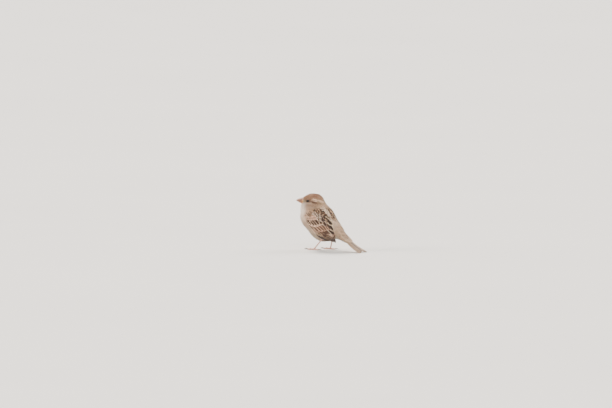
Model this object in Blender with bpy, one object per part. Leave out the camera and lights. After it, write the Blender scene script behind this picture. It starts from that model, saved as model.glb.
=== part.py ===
"""House sparrow, an adult female standing with her head turned, at life size.

The bird faces -Y with her left side at +X and stands on the floor, z = 0. Lengths are in millimetres, and
add_part() writes them in metres. The solids are the outline of the plumage, out to the feather tips: head, neck
and trunk are one blended shape, parted by thin cuts, and the wings and the tail lie against it with a small gap.
The legs come out of the belly's plumage at the heel.
"""

import math

import bmesh
import bpy
import numpy as np
from mathutils import Matrix, Vector

MM = 0.001  # a millimetre in Blender's metres
GAP = 0.35  # clear space between neighbouring solids
HEAD_YAW = 35.0  # how far the head is turned to the bird's left, in degrees
TRUNK_PITCH = 49.0  # how steeply the trunk slopes down to the tail
BLEND = 2.2  # how softly the rounded masses run into each other
VOXEL = 3.25  # facet size of the plumage outline

# Rounded masses of the body: centre, (half-width, half-length, half-height), pitch and yaw in degrees.
MASSES = {
    "crown": ((1.8, -9.2, 72.0), (8.9, 13.8, 9.4), -2.0, HEAD_YAW),
    "face": ((6.4, -16.2, 70.4), (4.8, 8.2, 5.6), 6.0, HEAD_YAW),
    "cheeks": ((2.6, -10.4, 67.6), (9.8, 11.0, 7.6), 0.0, HEAD_YAW),
    "nape": ((-2.6, -3.4, 64.5), (10.5, 8.6, 9.0), 0.0, HEAD_YAW),
    "neck": ((1.8, -10.6, 59.5), (14.5, 18.0, 11.5), 4.0, HEAD_YAW),
    "breast": ((0.0, -9.5, 47.5), (20.0, 22.5, 20.5), TRUNK_PITCH, 0.0),
    "mantle": ((-0.5, 10.0, 52.5), (13.5, 17.5, 11.0), 47.0, 0.0),
    "belly": ((0.0, 4.6, 34.9), (19.0, 24.5, 21.6), TRUNK_PITCH, 0.0),
    "rump": ((0.0, 26.5, 31.5), (12.5, 18.0, 10.5), 44.0, 0.0),
    "vent": ((0.0, 42.0, 20.5), (7.4, 14.0, 5.4), 41.0, 0.0),
}
# Cuts that part the body, as two points of the bird's mid-plane (y, z): one at the back, one at the front.
HEAD_CUT = ((8.0, 66.0), (-26.0, 59.5))
NECK_CUT = ((15.0, 58.0), (-30.0, 49.0))

EYE_AHEAD = 7.0  # from the head's middle towards the bill
EYE_UP = 71.0
EYE_RADIUS = 3.2
EYE_SIDE = 7.1  # from the head's middle plane to the eyeball's centre
HEAD_MIDDLE = (2.4, -10.4)  # x, y of the upright axis that the head turns about

BILL_ROOT = 11.6  # where the bill's base sits, ahead of the head's middle
BILL_LENGTH = 13.3
BILL_UP = 71.0
BILL_HALF_WIDTH = 4.3
BILL_TOP = 5.0
BILL_BOTTOM = 4.5
BILL_OVERHANG = 0.9  # how far the upper half reaches past the lower
BILL_FULLNESS = 2.2  # how late the bill narrows towards its tip

# Wing edges as (x, y, z), from the wrist at the breast's side to the tip beside the tail.
WING_UPPER = ((15.0, -12.0, 58.5), (12.5, 3.0, 62.0), (9.5, 17.0, 54.0), (9.0, 28.0, 41.0), (9.5, 34.5, 26.0),
              (10.5, 37.0, 13.5))
WING_LOWER = ((19.5, -14.0, 52.0), (20.5, -8.0, 41.5), (19.0, 4.0, 28.5), (16.5, 15.0, 18.5), (14.0, 27.0, 12.5),
              (11.0, 37.0, 11.0))
WING_DEPTH = (1.6, 2.4, 2.8, 2.6, 2.0, 1.0)  # how far the wing stands out from the body, along its length
WING_FREE = 0.62  # share of the length after which the wing leaves the body and hangs free

TAIL_COURSE = ((0.0, 33.0, 30.5), (0.0, 47.0, 19.5), (0.0, 61.0, 9.0), (0.0, 77.5, 0.35))  # down to the floor
TAIL_HALF_WIDTHS = (6.2, 7.6, 9.4, 10.8, 11.4)
TAIL_HALF_DEPTHS = (3.2, 2.2, 1.4, 1.1, 0.95)
TAIL_LENGTH = 53.0
TAIL_NOTCH = 2.6
TAIL_ROOF = 1.6  # how much lower the tail's sides are than its middle, at the root

LEG_SIDE = 10.5  # each foot's distance from the mid-plane
FOOT_Y = {"left": -2.0, "right": 12.0}
HEEL_BACK = {"left": 13.5, "right": 4.0}  # the heel joint lies this far behind the foot
HEEL_Z = 16.5
FOOT_Z = 2.4
TOE_RADIUS = 0.95
TOE_AXIS_Z = 0.75  # lower than the toe's radius, so that its underside is a flat on the floor
# Toes: heading in degrees from straight ahead (outwards positive), length without claw, claw length.
TOES = {"inner": (-24.0, 9.0, 4.6), "middle": (0.0, 13.0, 5.2), "outer": (25.0, 9.5, 4.4),
        "hind": (176.0, 7.5, 6.4)}

COLOURS = {
    "crown": (0.30, 0.21, 0.14), "buff": (0.42, 0.32, 0.23), "breast": (0.62, 0.55, 0.47),
    "wing": (0.22, 0.15, 0.11), "tail": (0.24, 0.18, 0.14), "leg": (0.47, 0.30, 0.24),
    "claw": (0.12, 0.09, 0.08), "horn": (0.52, 0.38, 0.28), "eye": (0.012, 0.009, 0.008),
}
ROUGHNESS = {"eye": 0.08, "horn": 0.4, "claw": 0.35, "leg": 0.55}


def clear_scene():
    for obj in list(bpy.data.objects):
        bpy.data.objects.remove(obj)


def turned(pitch, yaw):
    """Columns: the mass's side, its length towards the tail, and its height."""
    return np.array(Matrix.Rotation(math.radians(yaw), 3, "Z") @ Matrix.Rotation(-math.radians(pitch), 3, "X"))


def body_distance(points):
    """Distance from the plumage outline, negative inside: the masses blended into one soft surface."""
    total = np.zeros(len(points))
    for centre, half_sizes, pitch, yaw in MASSES.values():
        local = (points - np.array(centre)) @ turned(pitch, yaw) / np.array(half_sizes)
        reach = np.linalg.norm(local, axis=1)
        slope = np.linalg.norm(local / np.array(half_sizes), axis=1)
        total += np.exp(-reach * (reach - 1) / np.maximum(slope, 1e-6) / BLEND)
    return -BLEND * np.log(total)


def body_normal(points):
    step = 0.05
    sides = [body_distance(points + step * axis) - body_distance(points - step * axis) for axis in np.eye(3)]
    normal = np.stack(sides, axis=1)
    return normal / np.linalg.norm(normal, axis=1, keepdims=True)


def settle(points, level):
    """Moves points along the body's normals until they stand this far off its surface."""
    for _ in range(8):
        points = points - (body_distance(points) - level)[:, None] * body_normal(points)
    return points


def pushed_out(points):
    """Moves only the points inside the body, out to its surface."""
    for _ in range(8):
        points = points - np.minimum(body_distance(points), 0)[:, None] * body_normal(points)
    return points


def smooth_row(controls, share):
    """A point at each share, 0 to 1, of a smooth curve through evenly spaced control values."""
    controls = np.array(controls, float)
    controls = controls[:, None] if controls.ndim == 1 else controls
    ends = np.vstack([2 * controls[0] - controls[1], controls, 2 * controls[-1] - controls[-2]])
    at = np.clip(np.asarray(share, float), 0, 1) * (len(controls) - 1)
    i = np.minimum(at.astype(int), len(controls) - 2)
    t = (at - i)[:, None]
    a, b, c, d = ends[i], ends[i + 1], ends[i + 2], ends[i + 3]
    return 0.5 * (2 * b + (c - a) * t + (2 * a - 5 * b + 4 * c - d) * t**2 + (3 * b - a - 3 * c + d) * t**3)


def mesh_of(points, faces):
    mesh = bpy.data.meshes.new("solid")
    mesh.from_pydata([tuple(p) for p in points], [], [tuple(f) for f in faces])
    return mesh


def helper(mesh):
    """A hidden object that holds a mesh for a modifier."""
    obj = bpy.data.objects.new("helper", mesh)
    obj.hide_render = True
    obj.display_type = "WIRE"
    bpy.context.scene.collection.objects.link(obj)
    return obj


def applied(obj):
    """The mesh that obj's modifiers make. Its helper object is removed."""
    bpy.context.view_layer.update()
    mesh = bpy.data.meshes.new_from_object(obj.evaluated_get(bpy.context.evaluated_depsgraph_get()))
    bpy.data.objects.remove(obj)
    return mesh


def combined(mesh, other, operation):
    """The Boolean of two closed meshes."""
    target, tool = helper(mesh), helper(other)
    modifier = target.modifiers.new("join", "BOOLEAN")
    modifier.operation = operation
    modifier.solver = "EXACT"
    modifier.object = tool
    made = applied(target)
    bpy.data.objects.remove(tool)
    return made


def sliced(mesh, point, normal):
    """The part of a closed mesh behind a plane, with the cut closed."""
    bm = bmesh.new()
    bm.from_mesh(mesh)
    everything = bm.verts[:] + bm.edges[:] + bm.faces[:]
    bmesh.ops.bisect_plane(bm, geom=everything, plane_co=point, plane_no=normal, clear_outer=True)
    rim = [e for e in bm.edges if e.is_boundary]
    if rim:
        bmesh.ops.triangle_fill(bm, edges=rim, use_beauty=True)
    bmesh.ops.recalc_face_normals(bm, faces=bm.faces[:])
    made = bpy.data.meshes.new("solid")
    bm.to_mesh(made)
    bm.free()
    return made


def add_part(name, mesh, colour, parent):
    """A finished piece as a named object, in metres, smooth shaded, with its own material."""
    mesh = mesh.copy()
    mesh.name = name
    mesh.transform(Matrix.Scale(MM, 4))
    mesh.shade_smooth()
    mesh.set_sharp_from_angle(angle=math.radians(40))
    material = bpy.data.materials.new(name)
    material.use_nodes = True
    shader = material.node_tree.nodes["Principled BSDF"]
    shader.inputs["Base Color"].default_value = (*COLOURS[colour], 1)
    shader.inputs["Roughness"].default_value = ROUGHNESS.get(colour, 0.8)
    mesh.materials.clear()
    mesh.materials.append(material)
    obj = bpy.data.objects.new(name, mesh)
    obj.parent = parent
    bpy.context.scene.collection.objects.link(obj)
    return obj


def body_mesh():
    """The blended outline: ellipsoids remeshed into one body, whose points then settle on the soft surface."""
    bm = bmesh.new()
    for centre, half_sizes, pitch, yaw in MASSES.values():
        place = Matrix.Translation(centre) @ Matrix(turned(pitch, yaw)).to_4x4() @ Matrix.Diagonal((*half_sizes, 1))
        bmesh.ops.create_icosphere(bm, subdivisions=4, radius=1.0, matrix=place)
    mesh = bpy.data.meshes.new("masses")
    bm.to_mesh(mesh)
    bm.free()
    obj = helper(mesh)
    remesh = obj.modifiers.new("one body", "REMESH")
    remesh.mode = "VOXEL"
    remesh.voxel_size = VOXEL
    return applied(obj)


def points_of(mesh):
    points = np.empty(len(mesh.vertices) * 3)
    mesh.vertices.foreach_get("co", points)
    return points.reshape(-1, 3)


def settled(mesh, level):
    """A copy of the body's mesh that stands off its surface by level."""
    made = mesh.copy()
    made.vertices.foreach_set("co", settle(points_of(mesh), level).ravel())
    return made


def cut_plane(cut, shift):
    """A point and the forward-and-up normal of a cut across the body, moved along that normal."""
    (back_y, back_z), (front_y, front_z) = cut
    normal = Vector((0, back_z - front_z, front_y - back_y)).normalized() * -1
    return Vector((0, back_y, back_z)) + normal * shift, normal


def from_head(ahead, side, z):
    """A point given from the head's own axis: ahead towards the bill, side towards its left."""
    yaw = math.radians(HEAD_YAW)
    x, y = HEAD_MIDDLE
    return np.array((x + ahead * math.sin(yaw) + side * math.cos(yaw),
                     y - ahead * math.cos(yaw) + side * math.sin(yaw), z))


def ball(centre, radius, subdivisions=3):
    bm = bmesh.new()
    bmesh.ops.create_icosphere(bm, subdivisions=subdivisions, radius=radius, matrix=Matrix.Translation(centre))
    mesh = bpy.data.meshes.new("ball")
    bm.to_mesh(mesh)
    bm.free()
    return mesh


def lofted(rings):
    """A closed solid through rings of equal count, with flat ends."""
    bm = bmesh.new()
    loops = [[bm.verts.new(p) for p in ring] for ring in rings]
    count = len(rings[0])
    for first, second in zip(loops, loops[1:]):
        for i in range(count):
            j = (i + 1) % count
            bm.faces.new((first[i], first[j], second[j], second[i]))
    bm.faces.new(loops[0])
    bm.faces.new(loops[-1])
    bmesh.ops.recalc_face_normals(bm, faces=bm.faces[:])
    mesh = bpy.data.meshes.new("loft")
    bm.to_mesh(mesh)
    bm.free()
    return mesh


def bill_half(upper, grow=0.0):
    """One half of the bill: half-round rings that taper to the tip on a bowed ridge. grow thickens it."""
    stations, sides = 9, 10
    height = BILL_TOP if upper else -BILL_BOTTOM
    length = BILL_LENGTH - (0 if upper else BILL_OVERHANG)
    sign = 1 if upper else -1
    rings = []
    for share in np.linspace(0, 1, stations):
        taper = (1 - share**BILL_FULLNESS) * (1 - 0.12 * share)
        width = max(BILL_HALF_WIDTH * taper, 0.4) + grow
        rise = max(abs(height) * taper, 0.4) + 2.5 * grow
        ahead = BILL_ROOT + length * share - grow * (1 if share == 0 else 0)
        lip = BILL_UP - 0.5 * (1 - share) + sign * (GAP / 2 if not grow else -grow)
        angles = [math.pi * i / sides for i in range(sides + 1)]
        rings.append([from_head(ahead, width * math.cos(a), lip + sign * rise * math.sin(a)) for a in angles])
    return lofted(rings)


def plate(top, bottom):
    """A closed plate between two grids of points, (rows, columns, 3)."""
    rows, columns = top.shape[:2]
    points = np.concatenate([top.reshape(-1, 3), bottom.reshape(-1, 3)])
    under = rows * columns
    faces = []
    for r in range(rows - 1):
        for c in range(columns - 1):
            a = r * columns + c
            quad = (a, a + 1, a + columns + 1, a + columns)
            faces += [quad, tuple(under + q for q in reversed(quad))]
    rim = [c for c in range(columns)] + [r * columns + columns - 1 for r in range(1, rows)]
    rim += [(rows - 1) * columns + c for c in range(columns - 2, -1, -1)]
    rim += [r * columns for r in range(rows - 2, 0, -1)]
    faces += [(a, under + a, under + b, b) for a, b in zip(rim, rim[1:] + rim[:1])]
    bm = bmesh.new()
    bm.from_mesh(mesh_of(points, faces))
    bmesh.ops.recalc_face_normals(bm, faces=bm.faces[:])
    mesh = bpy.data.meshes.new("plate")
    bm.to_mesh(mesh)
    bm.free()
    return mesh


def wing_mesh():
    """The left folded wing: a plate that follows the body's flank, then hangs free towards its tip."""
    rows, columns = 13, 7
    along, across = np.linspace(0, 1, rows), np.linspace(0, 1, columns)
    upper, lower = smooth_row(WING_UPPER, along), smooth_row(WING_LOWER, along)
    spread = upper[:, None] + (lower - upper)[:, None] * across[None, :, None]
    flat = spread.reshape(-1, 3)
    hugging = settle(flat, 0.0).reshape(spread.shape)
    free = np.clip((along - WING_FREE) / (1 - WING_FREE), 0, 1)[:, None, None]
    bow = np.sin(np.pi * across)[None, :, None] * np.array((1.8, 0, 0)) * free
    skin = hugging * (1 - free) + (spread + bow) * free
    skin = pushed_out(skin.reshape(-1, 3)).reshape(spread.shape)
    normal = body_normal(skin.reshape(-1, 3)).reshape(skin.shape)
    outward = normal * (1 - free) + np.array((1.0, 0, 0.1)) * free
    outward /= np.linalg.norm(outward, axis=2, keepdims=True)
    edge = 0.55 + 0.45 * np.sin(np.pi * across)[None, :, None]
    depth = smooth_row(WING_DEPTH, along)[:, None, :] * edge
    inner = 2.5 * (1 - free) + 0.5 * free
    return plate(skin + outward * depth, skin - outward * inner)


def mirrored(mesh):
    made = mesh.copy()
    made.transform(Matrix.Scale(-1, 4, (1, 0, 0)))
    made.flip_normals()
    return made


def tail_mesh():
    """The closed tail: a shallow roof of feathers with a notched end, resting on the floor at its tip."""
    rows, columns = 12, 9
    across = np.linspace(-1, 1, columns)
    notch = TAIL_NOTCH * (1 - np.abs(across) ** 1.5) / TAIL_LENGTH
    along = np.linspace(0, 1, rows)[:, None] * (1 - notch)[None, :]
    middle = smooth_row(TAIL_COURSE, along.ravel())
    ahead = smooth_row(TAIL_COURSE, along.ravel() + 0.01) - smooth_row(TAIL_COURSE, along.ravel() - 0.01)
    rise = np.cross(np.array((1.0, 0, 0)), ahead)
    rise = (rise / np.linalg.norm(rise, axis=1, keepdims=True)).reshape(rows, columns, 3)
    width = smooth_row(TAIL_HALF_WIDTHS, along.ravel()).reshape(rows, columns)
    depth = smooth_row(TAIL_HALF_DEPTHS, along.ravel()).reshape(rows, columns) * (1 - 0.45 * across**2)
    roof = -TAIL_ROOF * (1 - along) * across**2
    middle = middle.reshape(rows, columns, 3) + np.array((1.0, 0, 0)) * (width * across)[..., None]
    return plate(middle + rise * (roof + depth)[..., None], middle + rise * (roof - depth)[..., None])


def tube(points, radii, sides=7):
    """A closed tube of changing radius along a path."""
    points = [Vector(p) for p in points]
    rings = []
    for i, point in enumerate(points):
        course = (points[min(i + 1, len(points) - 1)] - points[max(i - 1, 0)]).normalized()
        side = course.cross(Vector((0.03, 0.02, 1))).normalized()
        up = side.cross(course)
        angles = [2 * math.pi * (k + 0.5) / sides for k in range(sides)]
        rings.append([point + (side * math.cos(a) + up * math.sin(a)) * radii[i] for a in angles])
    return lofted(rings)


def toe_heading(side, heading):
    outward = 1 if side == "left" else -1
    angle = math.radians(heading) * outward
    return Vector((math.sin(angle), -math.cos(angle), 0))


def foot_middle(side):
    return Vector((LEG_SIDE * (1 if side == "left" else -1), FOOT_Y[side], 0))


def toe_mesh(side, name):
    heading, length, _ = TOES[name]
    course = toe_heading(side, heading)
    start = foot_middle(side)
    points, radii = [start + Vector((0, 0, FOOT_Z - 0.5))], [1.15]
    for share in np.linspace(0.16, 1.0, 5):
        knuckle = 0.1 * math.cos(share * math.pi * 4)
        points.append(start + course * length * share + Vector((0, 0, TOE_AXIS_Z)))
        radii.append(TOE_RADIUS * (1.08 - 0.25 * share) + knuckle)
    return tube(points, radii)


def claw_mesh(side, name):
    """A curved horn that leaves the toe's end, rises a little and comes down to the floor."""
    heading, length, claw = TOES[name]
    course = toe_heading(side, heading)
    start = foot_middle(side) + course * (length + GAP)
    points, radii = [], []
    for share in np.linspace(0, 1, 6):
        lift = 0.95 + 0.9 * math.sin(math.pi * share * 0.9) - 0.62 * share
        points.append(start + course * claw * share + Vector((0, 0, lift)))
        radii.append(0.62 - 0.34 * share)
    return tube(points, radii, 6)


def leg_mesh(side):
    """The bare leg: tarsus, the pad under its end, and four toes, flat underneath where they meet the floor."""
    foot = foot_middle(side)
    heel = foot + Vector((0, HEEL_BACK[side], HEEL_Z))
    sole = foot + Vector((0, 0, FOOT_Z))
    shares = np.linspace(0, 1, 6)
    points = [heel.lerp(sole, s) for s in shares]
    radii = [1.45 - 0.5 * min(s * 3, 1) + 0.35 * max(s - 0.8, 0) * 5 * 0.6 for s in shares]
    mesh = tube(points, radii)
    mesh = combined(mesh, ball(foot + Vector((0, 0, 1.1)), 1.75, 2), "UNION")
    for name in TOES:
        mesh = combined(mesh, toe_mesh(side, name), "UNION")
    return sliced(mesh, (0, 0, 0), (0, 0, -1))


def build_body(parent, body, near):
    """Head, neck and trunk from the one outline, with sockets for the bill and the eyes."""
    at, normal = cut_plane(HEAD_CUT, GAP / 2)
    head = sliced(body, at, -normal)
    at, normal = cut_plane(HEAD_CUT, -GAP / 2)
    rest = sliced(body, at, normal)
    at, normal = cut_plane(NECK_CUT, GAP / 2)
    neck = sliced(rest, at, -normal)
    at, normal = cut_plane(NECK_CUT, -GAP / 2)
    trunk = sliced(rest, at, normal)
    for half in (True, False):
        head = combined(head, bill_half(half, GAP), "DIFFERENCE")
    for name, sign in (("left", 1), ("right", -1)):
        centre = from_head(EYE_AHEAD, sign * EYE_SIDE, EYE_UP)
        head = combined(head, ball(centre, EYE_RADIUS + GAP), "DIFFERENCE")
        add_part(f"eye_{name}", ball(centre, EYE_RADIUS), "eye", parent)
    add_part("head", head, "crown", parent)
    add_part("neck", neck, "buff", parent)
    add_part("trunk", trunk, "breast", parent)
    add_part("bill_upper", bill_half(True), "horn", parent)
    add_part("bill_lower", bill_half(False), "horn", parent)
    add_part("tail", sliced(combined(tail_mesh(), near, "DIFFERENCE"), (0, 0, 0), (0, 0, -1)), "tail", parent)


def build_side(side, parent, near):
    """One side's wing, leg and claws."""
    wing = wing_mesh() if side == "left" else mirrored(wing_mesh())
    add_part(f"wing_{side}", combined(wing, near, "DIFFERENCE"), "wing", parent)
    add_part(f"leg_{side}", combined(leg_mesh(side), near, "DIFFERENCE"), "leg", parent)
    for name in TOES:
        claw = sliced(claw_mesh(side, name), (0, 0, 0), (0, 0, -1))
        add_part(f"claw_{side}_{name}", claw, "claw", parent)


def stand_at_origin(parent):
    """Moves the bird so that the middle of its footprint box is at the origin and its soles are at z = 0."""
    corners = []
    for obj in parent.children:
        corners += [obj.matrix_world @ v.co for v in obj.data.vertices]
    low = Vector([min(c[i] for c in corners) for i in range(3)])
    high = Vector([max(c[i] for c in corners) for i in range(3)])
    shift = Vector((-(low.x + high.x) / 2, -(low.y + high.y) / 2, -low.z))
    for obj in parent.children:
        obj.data.transform(Matrix.Translation(shift))


def main():
    clear_scene()
    parent = bpy.data.objects.new("house_sparrow", None)
    bpy.context.scene.collection.objects.link(parent)
    rough = body_mesh()
    body, near = settled(rough, 0.0), settled(rough, GAP)
    build_body(parent, body, near)
    for side in ("left", "right"):
        build_side(side, parent, near)
    bpy.context.view_layer.update()
    stand_at_origin(parent)


main()
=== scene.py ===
import math
import time
from functools import partial

import bmesh
import bpy
import numpy as np
from mathutils import Matrix, Vector
from mathutils.kdtree import KDTree


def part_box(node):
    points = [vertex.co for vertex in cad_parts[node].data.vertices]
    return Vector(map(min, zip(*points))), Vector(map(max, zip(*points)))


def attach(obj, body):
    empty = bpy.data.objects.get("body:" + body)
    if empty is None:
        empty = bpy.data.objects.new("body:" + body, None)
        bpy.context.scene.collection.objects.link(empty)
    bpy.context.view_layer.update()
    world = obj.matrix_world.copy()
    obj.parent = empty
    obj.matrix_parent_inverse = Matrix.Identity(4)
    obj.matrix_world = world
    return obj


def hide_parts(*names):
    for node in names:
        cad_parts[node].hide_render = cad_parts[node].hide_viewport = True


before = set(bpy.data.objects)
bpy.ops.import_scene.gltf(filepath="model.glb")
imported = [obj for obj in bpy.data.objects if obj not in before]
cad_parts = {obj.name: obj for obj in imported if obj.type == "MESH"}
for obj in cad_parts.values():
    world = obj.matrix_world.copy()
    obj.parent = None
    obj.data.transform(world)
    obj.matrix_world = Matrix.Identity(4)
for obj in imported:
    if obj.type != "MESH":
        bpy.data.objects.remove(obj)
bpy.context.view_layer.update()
started = time.time()
mm = 0.001


def say(words):
    print(f"[{time.time() - started:5.1f} s] {words}", flush=True)


# The stance, in millimetres: the bird faces -Y, its left is +X and the floor is z = 0.
stance = dict(headYaw=35.0, trunkPitch=49.0, softness=2.2, headMiddle=(2.4, -10.4),
              eyeAhead=7.0, eyeSide=7.1, eyeUp=71.0, eyeRadius=3.2)

# Rounded masses of the plumage: middle, (half-width, half-length, half-height), pitch and yaw in degrees.
masses = dict(
    crown=((1.8, -9.2, 72.0), (8.9, 13.8, 9.4), -2.0, 35.0),
    face=((6.4, -16.2, 70.4), (4.8, 8.2, 5.6), 6.0, 35.0),
    cheeks=((2.6, -10.4, 67.6), (9.8, 11.0, 7.6), 0.0, 35.0),
    nape=((-2.6, -3.4, 64.5), (10.5, 8.6, 9.0), 0.0, 35.0),
    neck=((1.8, -10.6, 59.5), (14.5, 18.0, 11.5), 4.0, 35.0),
    breast=((0.0, -9.5, 47.5), (20.0, 22.5, 20.5), 49.0, 0.0),
    mantle=((-0.5, 10.0, 52.5), (13.5, 17.5, 11.0), 47.0, 0.0),
    belly=((0.0, 4.6, 34.9), (19.0, 24.5, 21.6), 49.0, 0.0),
    rump=((0.0, 26.5, 31.5), (12.5, 18.0, 10.5), 44.0, 0.0),
    vent=((0.0, 42.0, 20.5), (7.4, 14.0, 5.4), 41.0, 0.0),
)

headYaw = math.radians(stance["headYaw"])
trunkPitch = math.radians(stance["trunkPitch"])
billWay = np.array((math.sin(headYaw), -math.cos(headYaw), 0.0))
headLeft = np.array((math.cos(headYaw), math.sin(headYaw), 0.0))
upWay = np.array((0.0, 0.0, 1.0))
tailWay = np.array((0.0, math.cos(trunkPitch), -math.sin(trunkPitch)))
backWay = np.array((0.0, math.sin(trunkPitch), math.cos(trunkPitch)))
headAxis = np.array((*stance["headMiddle"], 0.0))
trunkMiddle = np.array((0.0, 8.0, 37.0))
billRoot = dict(ahead=14.5, up=71.2)


# Numbers and directions

def smoothStep(low, high, value):
    share = np.clip((np.asarray(value, float) - low) / (high - low), 0, 1)
    return share * share * (3 - 2 * share)


def unit(rows):
    return rows / np.maximum(np.linalg.norm(rows, axis=-1, keepdims=True), 1e-9)


def mixed(first, second, share):
    # From the first to the second by a share: single values, or rows of them.
    if np.ndim(first) > np.ndim(share) > 0:
        share = share[:, None]
    return first * (1 - share) + second * share


def smoothRow(controls, share):
    # A smooth curve through evenly spaced control points.
    controls = np.array(controls, float)
    controls = controls[:, None] if controls.ndim == 1 else controls
    ends = np.vstack([2 * controls[0] - controls[1], controls, 2 * controls[-1] - controls[-2]])
    at = np.clip(np.asarray(share, float), 0, 1) * (len(controls) - 1)
    i = np.minimum(at.astype(int), len(controls) - 2)
    t = (at - i)[:, None]
    a, b, c, d = ends[i], ends[i + 1], ends[i + 2], ends[i + 3]
    return 0.5 * (2 * b + (c - a) * t + (2 * a - 5 * b + 4 * c - d) * t**2 + (3 * b - a - 3 * c + d) * t**3)


def headPoint(ahead, side, up):
    # A place given along the bill, to the head's left and up from the floor.
    ahead, side, up = np.broadcast_arrays(*(np.asarray(v, float) for v in (ahead, side, up)))
    return headAxis + ahead[..., None] * billWay + side[..., None] * headLeft + up[..., None] * upWay


def headPlace(points):
    rel = points - headAxis
    return rel @ billWay, rel @ headLeft, rel[..., 2]


eyeBox = [np.array(c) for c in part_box("eye_left")]
shift = (eyeBox[0] + eyeBox[1]) / 2 / mm - headPoint(stance["eyeAhead"], stance["eyeSide"], stance["eyeUp"])


def placed(points):
    return (np.asarray(points, float) + shift) * mm


# The plumage outline as one soft surface

def turned(pitch, yaw):
    lean = Matrix.Rotation(-math.radians(pitch), 3, "X")
    return np.array(Matrix.Rotation(math.radians(yaw), 3, "Z") @ lean)


def bodyLevel(points):
    # How far out of the plumage a point is, with the masses melted into one another.
    total = np.zeros(len(points))
    for middle, sizes, pitch, yaw in masses.values():
        local = (points - np.array(middle)) @ turned(pitch, yaw) / np.array(sizes)
        reach = np.linalg.norm(local, axis=1)
        slope = np.linalg.norm(local / np.array(sizes), axis=1)
        total += np.exp(-reach * (reach - 1) / np.maximum(slope, 1e-6) / stance["softness"])
    return -stance["softness"] * np.log(total)


def bodyNormal(points):
    steps = 0.05 * np.eye(3)
    return unit(np.stack([bodyLevel(points + step) - bodyLevel(points - step) for step in steps], axis=1))


def settle(points, level, rounds=8):
    # Slides points along the normal to a level of the plumage.
    for _ in range(rounds):
        points = points - (bodyLevel(points) - level)[:, None] * bodyNormal(points)
    return points


def pushedOut(points):
    # Points inside the plumage slide out to its surface.
    for _ in range(8):
        points = points - np.minimum(bodyLevel(points), 0)[:, None] * bodyNormal(points)
    return points


# The folded wing: its upper and lower edges from the shoulder to the tip, how deep its feathers lie, from
# what share of its length it stands free of the body, how far it bows out there, its length and width, and,
# as shares of the width, how much lower the far wing lies and how far down feathers may reach.
wing = dict(
    upper=((15.0, -12.0, 58.5), (12.5, 3.0, 62.0), (9.5, 17.0, 54.0), (9.0, 28.0, 41.0), (9.5, 34.5, 26.0),
           (10.5, 37.0, 13.5)),
    lower=((19.5, -14.0, 52.0), (20.5, -8.0, 41.5), (19.0, 4.0, 28.5), (16.5, 15.0, 18.5), (14.0, 27.0, 12.5),
           (11.0, 37.0, 11.0)),
    depth=(1.6, 2.4, 2.8, 2.6, 2.0, 1.0), free=0.62, bow=1.8, size=(60.0, 26.0), farLower=0.14, edge=1.24)


def wingGrid(rows, columns, reach=1.0):
    # Places on the wing: rows from its front to a share of its length, each from the upper edge to the lower.
    return np.repeat(np.linspace(0, reach, rows), columns), np.tile(np.linspace(0, 1, columns), rows)


def wingFrame(along, across):
    # The left wing's sheet: its base on the body, the way out of it, and how deep its feathers may lie.
    along, across = np.broadcast_arrays(np.asarray(along, float), np.asarray(across, float))
    upper, lower = smoothRow(wing["upper"], along), smoothRow(wing["lower"], along)
    flat = upper + (lower - upper) * across[:, None]
    free = np.clip((along - wing["free"]) / (1 - wing["free"]), 0, 1)[:, None]
    bow = np.sin(np.pi * across)[:, None] * np.array((wing["bow"], 0, 0)) * free
    base = pushedOut(settle(flat, 0.0) * (1 - free) + (flat + bow) * free)
    outward = unit(bodyNormal(base) * (1 - free) + np.array((1.0, 0, 0.1)) * free)
    depth = smoothRow(wing["depth"], along)[:, 0] * (0.55 + 0.45 * np.sin(np.pi * np.clip(across, 0, 1)))
    return base, outward, depth


# Meshes

def meshOf(name, points, faces):
    mesh = bpy.data.meshes.new(name)
    mesh.from_pydata([tuple(p) for p in points], [], [tuple(f) for f in faces])
    return mesh


def linked(name, mesh):
    obj = bpy.data.objects.new(name, mesh)
    bpy.context.scene.collection.objects.link(obj)
    return obj


def evaluatedMesh(obj):
    # The plain mesh that an object's modifiers make. The object goes.
    bpy.context.view_layer.update()
    mesh = bpy.data.meshes.new_from_object(obj.evaluated_get(bpy.context.evaluated_depsgraph_get()))
    bpy.data.objects.remove(obj)
    return mesh


def remeshed(mesh, voxel):
    obj = linked("remesh", mesh)
    modifier = obj.modifiers.new("one body", "REMESH")
    modifier.mode = "VOXEL"
    modifier.voxel_size = voxel
    return evaluatedMesh(obj)


def pointsOf(mesh, field="co"):
    values = np.empty(len(mesh.vertices) * 3)
    mesh.vertices.foreach_get(field, values)
    return values.reshape(-1, 3)


def setPoints(mesh, points):
    mesh.vertices.foreach_set("co", np.asarray(points, float).ravel())
    mesh.update()


def setAttributes(mesh, kind, values):
    # Colours come without their opacity, which is full.
    field = "color" if kind == "FLOAT_COLOR" else "vector" if kind == "FLOAT_VECTOR" else "value"
    for name, rows in values.items():
        if kind == "FLOAT_COLOR":
            rows = np.column_stack([rows, np.ones(len(rows))])
        layer = mesh.attributes.new(name, kind, "POINT")
        layer.data.foreach_set(field, np.ascontiguousarray(rows, dtype=np.float32).ravel())


def setMap(mesh, name, places):
    # A UV map that gives each face corner the place of its vertex.
    corners = np.empty(len(mesh.loops), np.int32)
    mesh.loops.foreach_get("vertex_index", corners)
    mesh.uv_layers.new(name=name)
    mesh.uv_layers[name].data.foreach_set("uv", np.asarray(places, np.float32)[corners].ravel())


def meshFrom(name, build):
    # A mesh from what build does to an empty BMesh.
    bm = bmesh.new()
    build(bm)
    made = bpy.data.meshes.new(name)
    bm.to_mesh(made)
    bm.free()
    return made


def ballsMesh(places, radius=1.0):
    def build(bm):
        for place in places:
            bmesh.ops.create_icosphere(bm, subdivisions=4, radius=radius, matrix=place)
    return meshFrom("balls", build)


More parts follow.
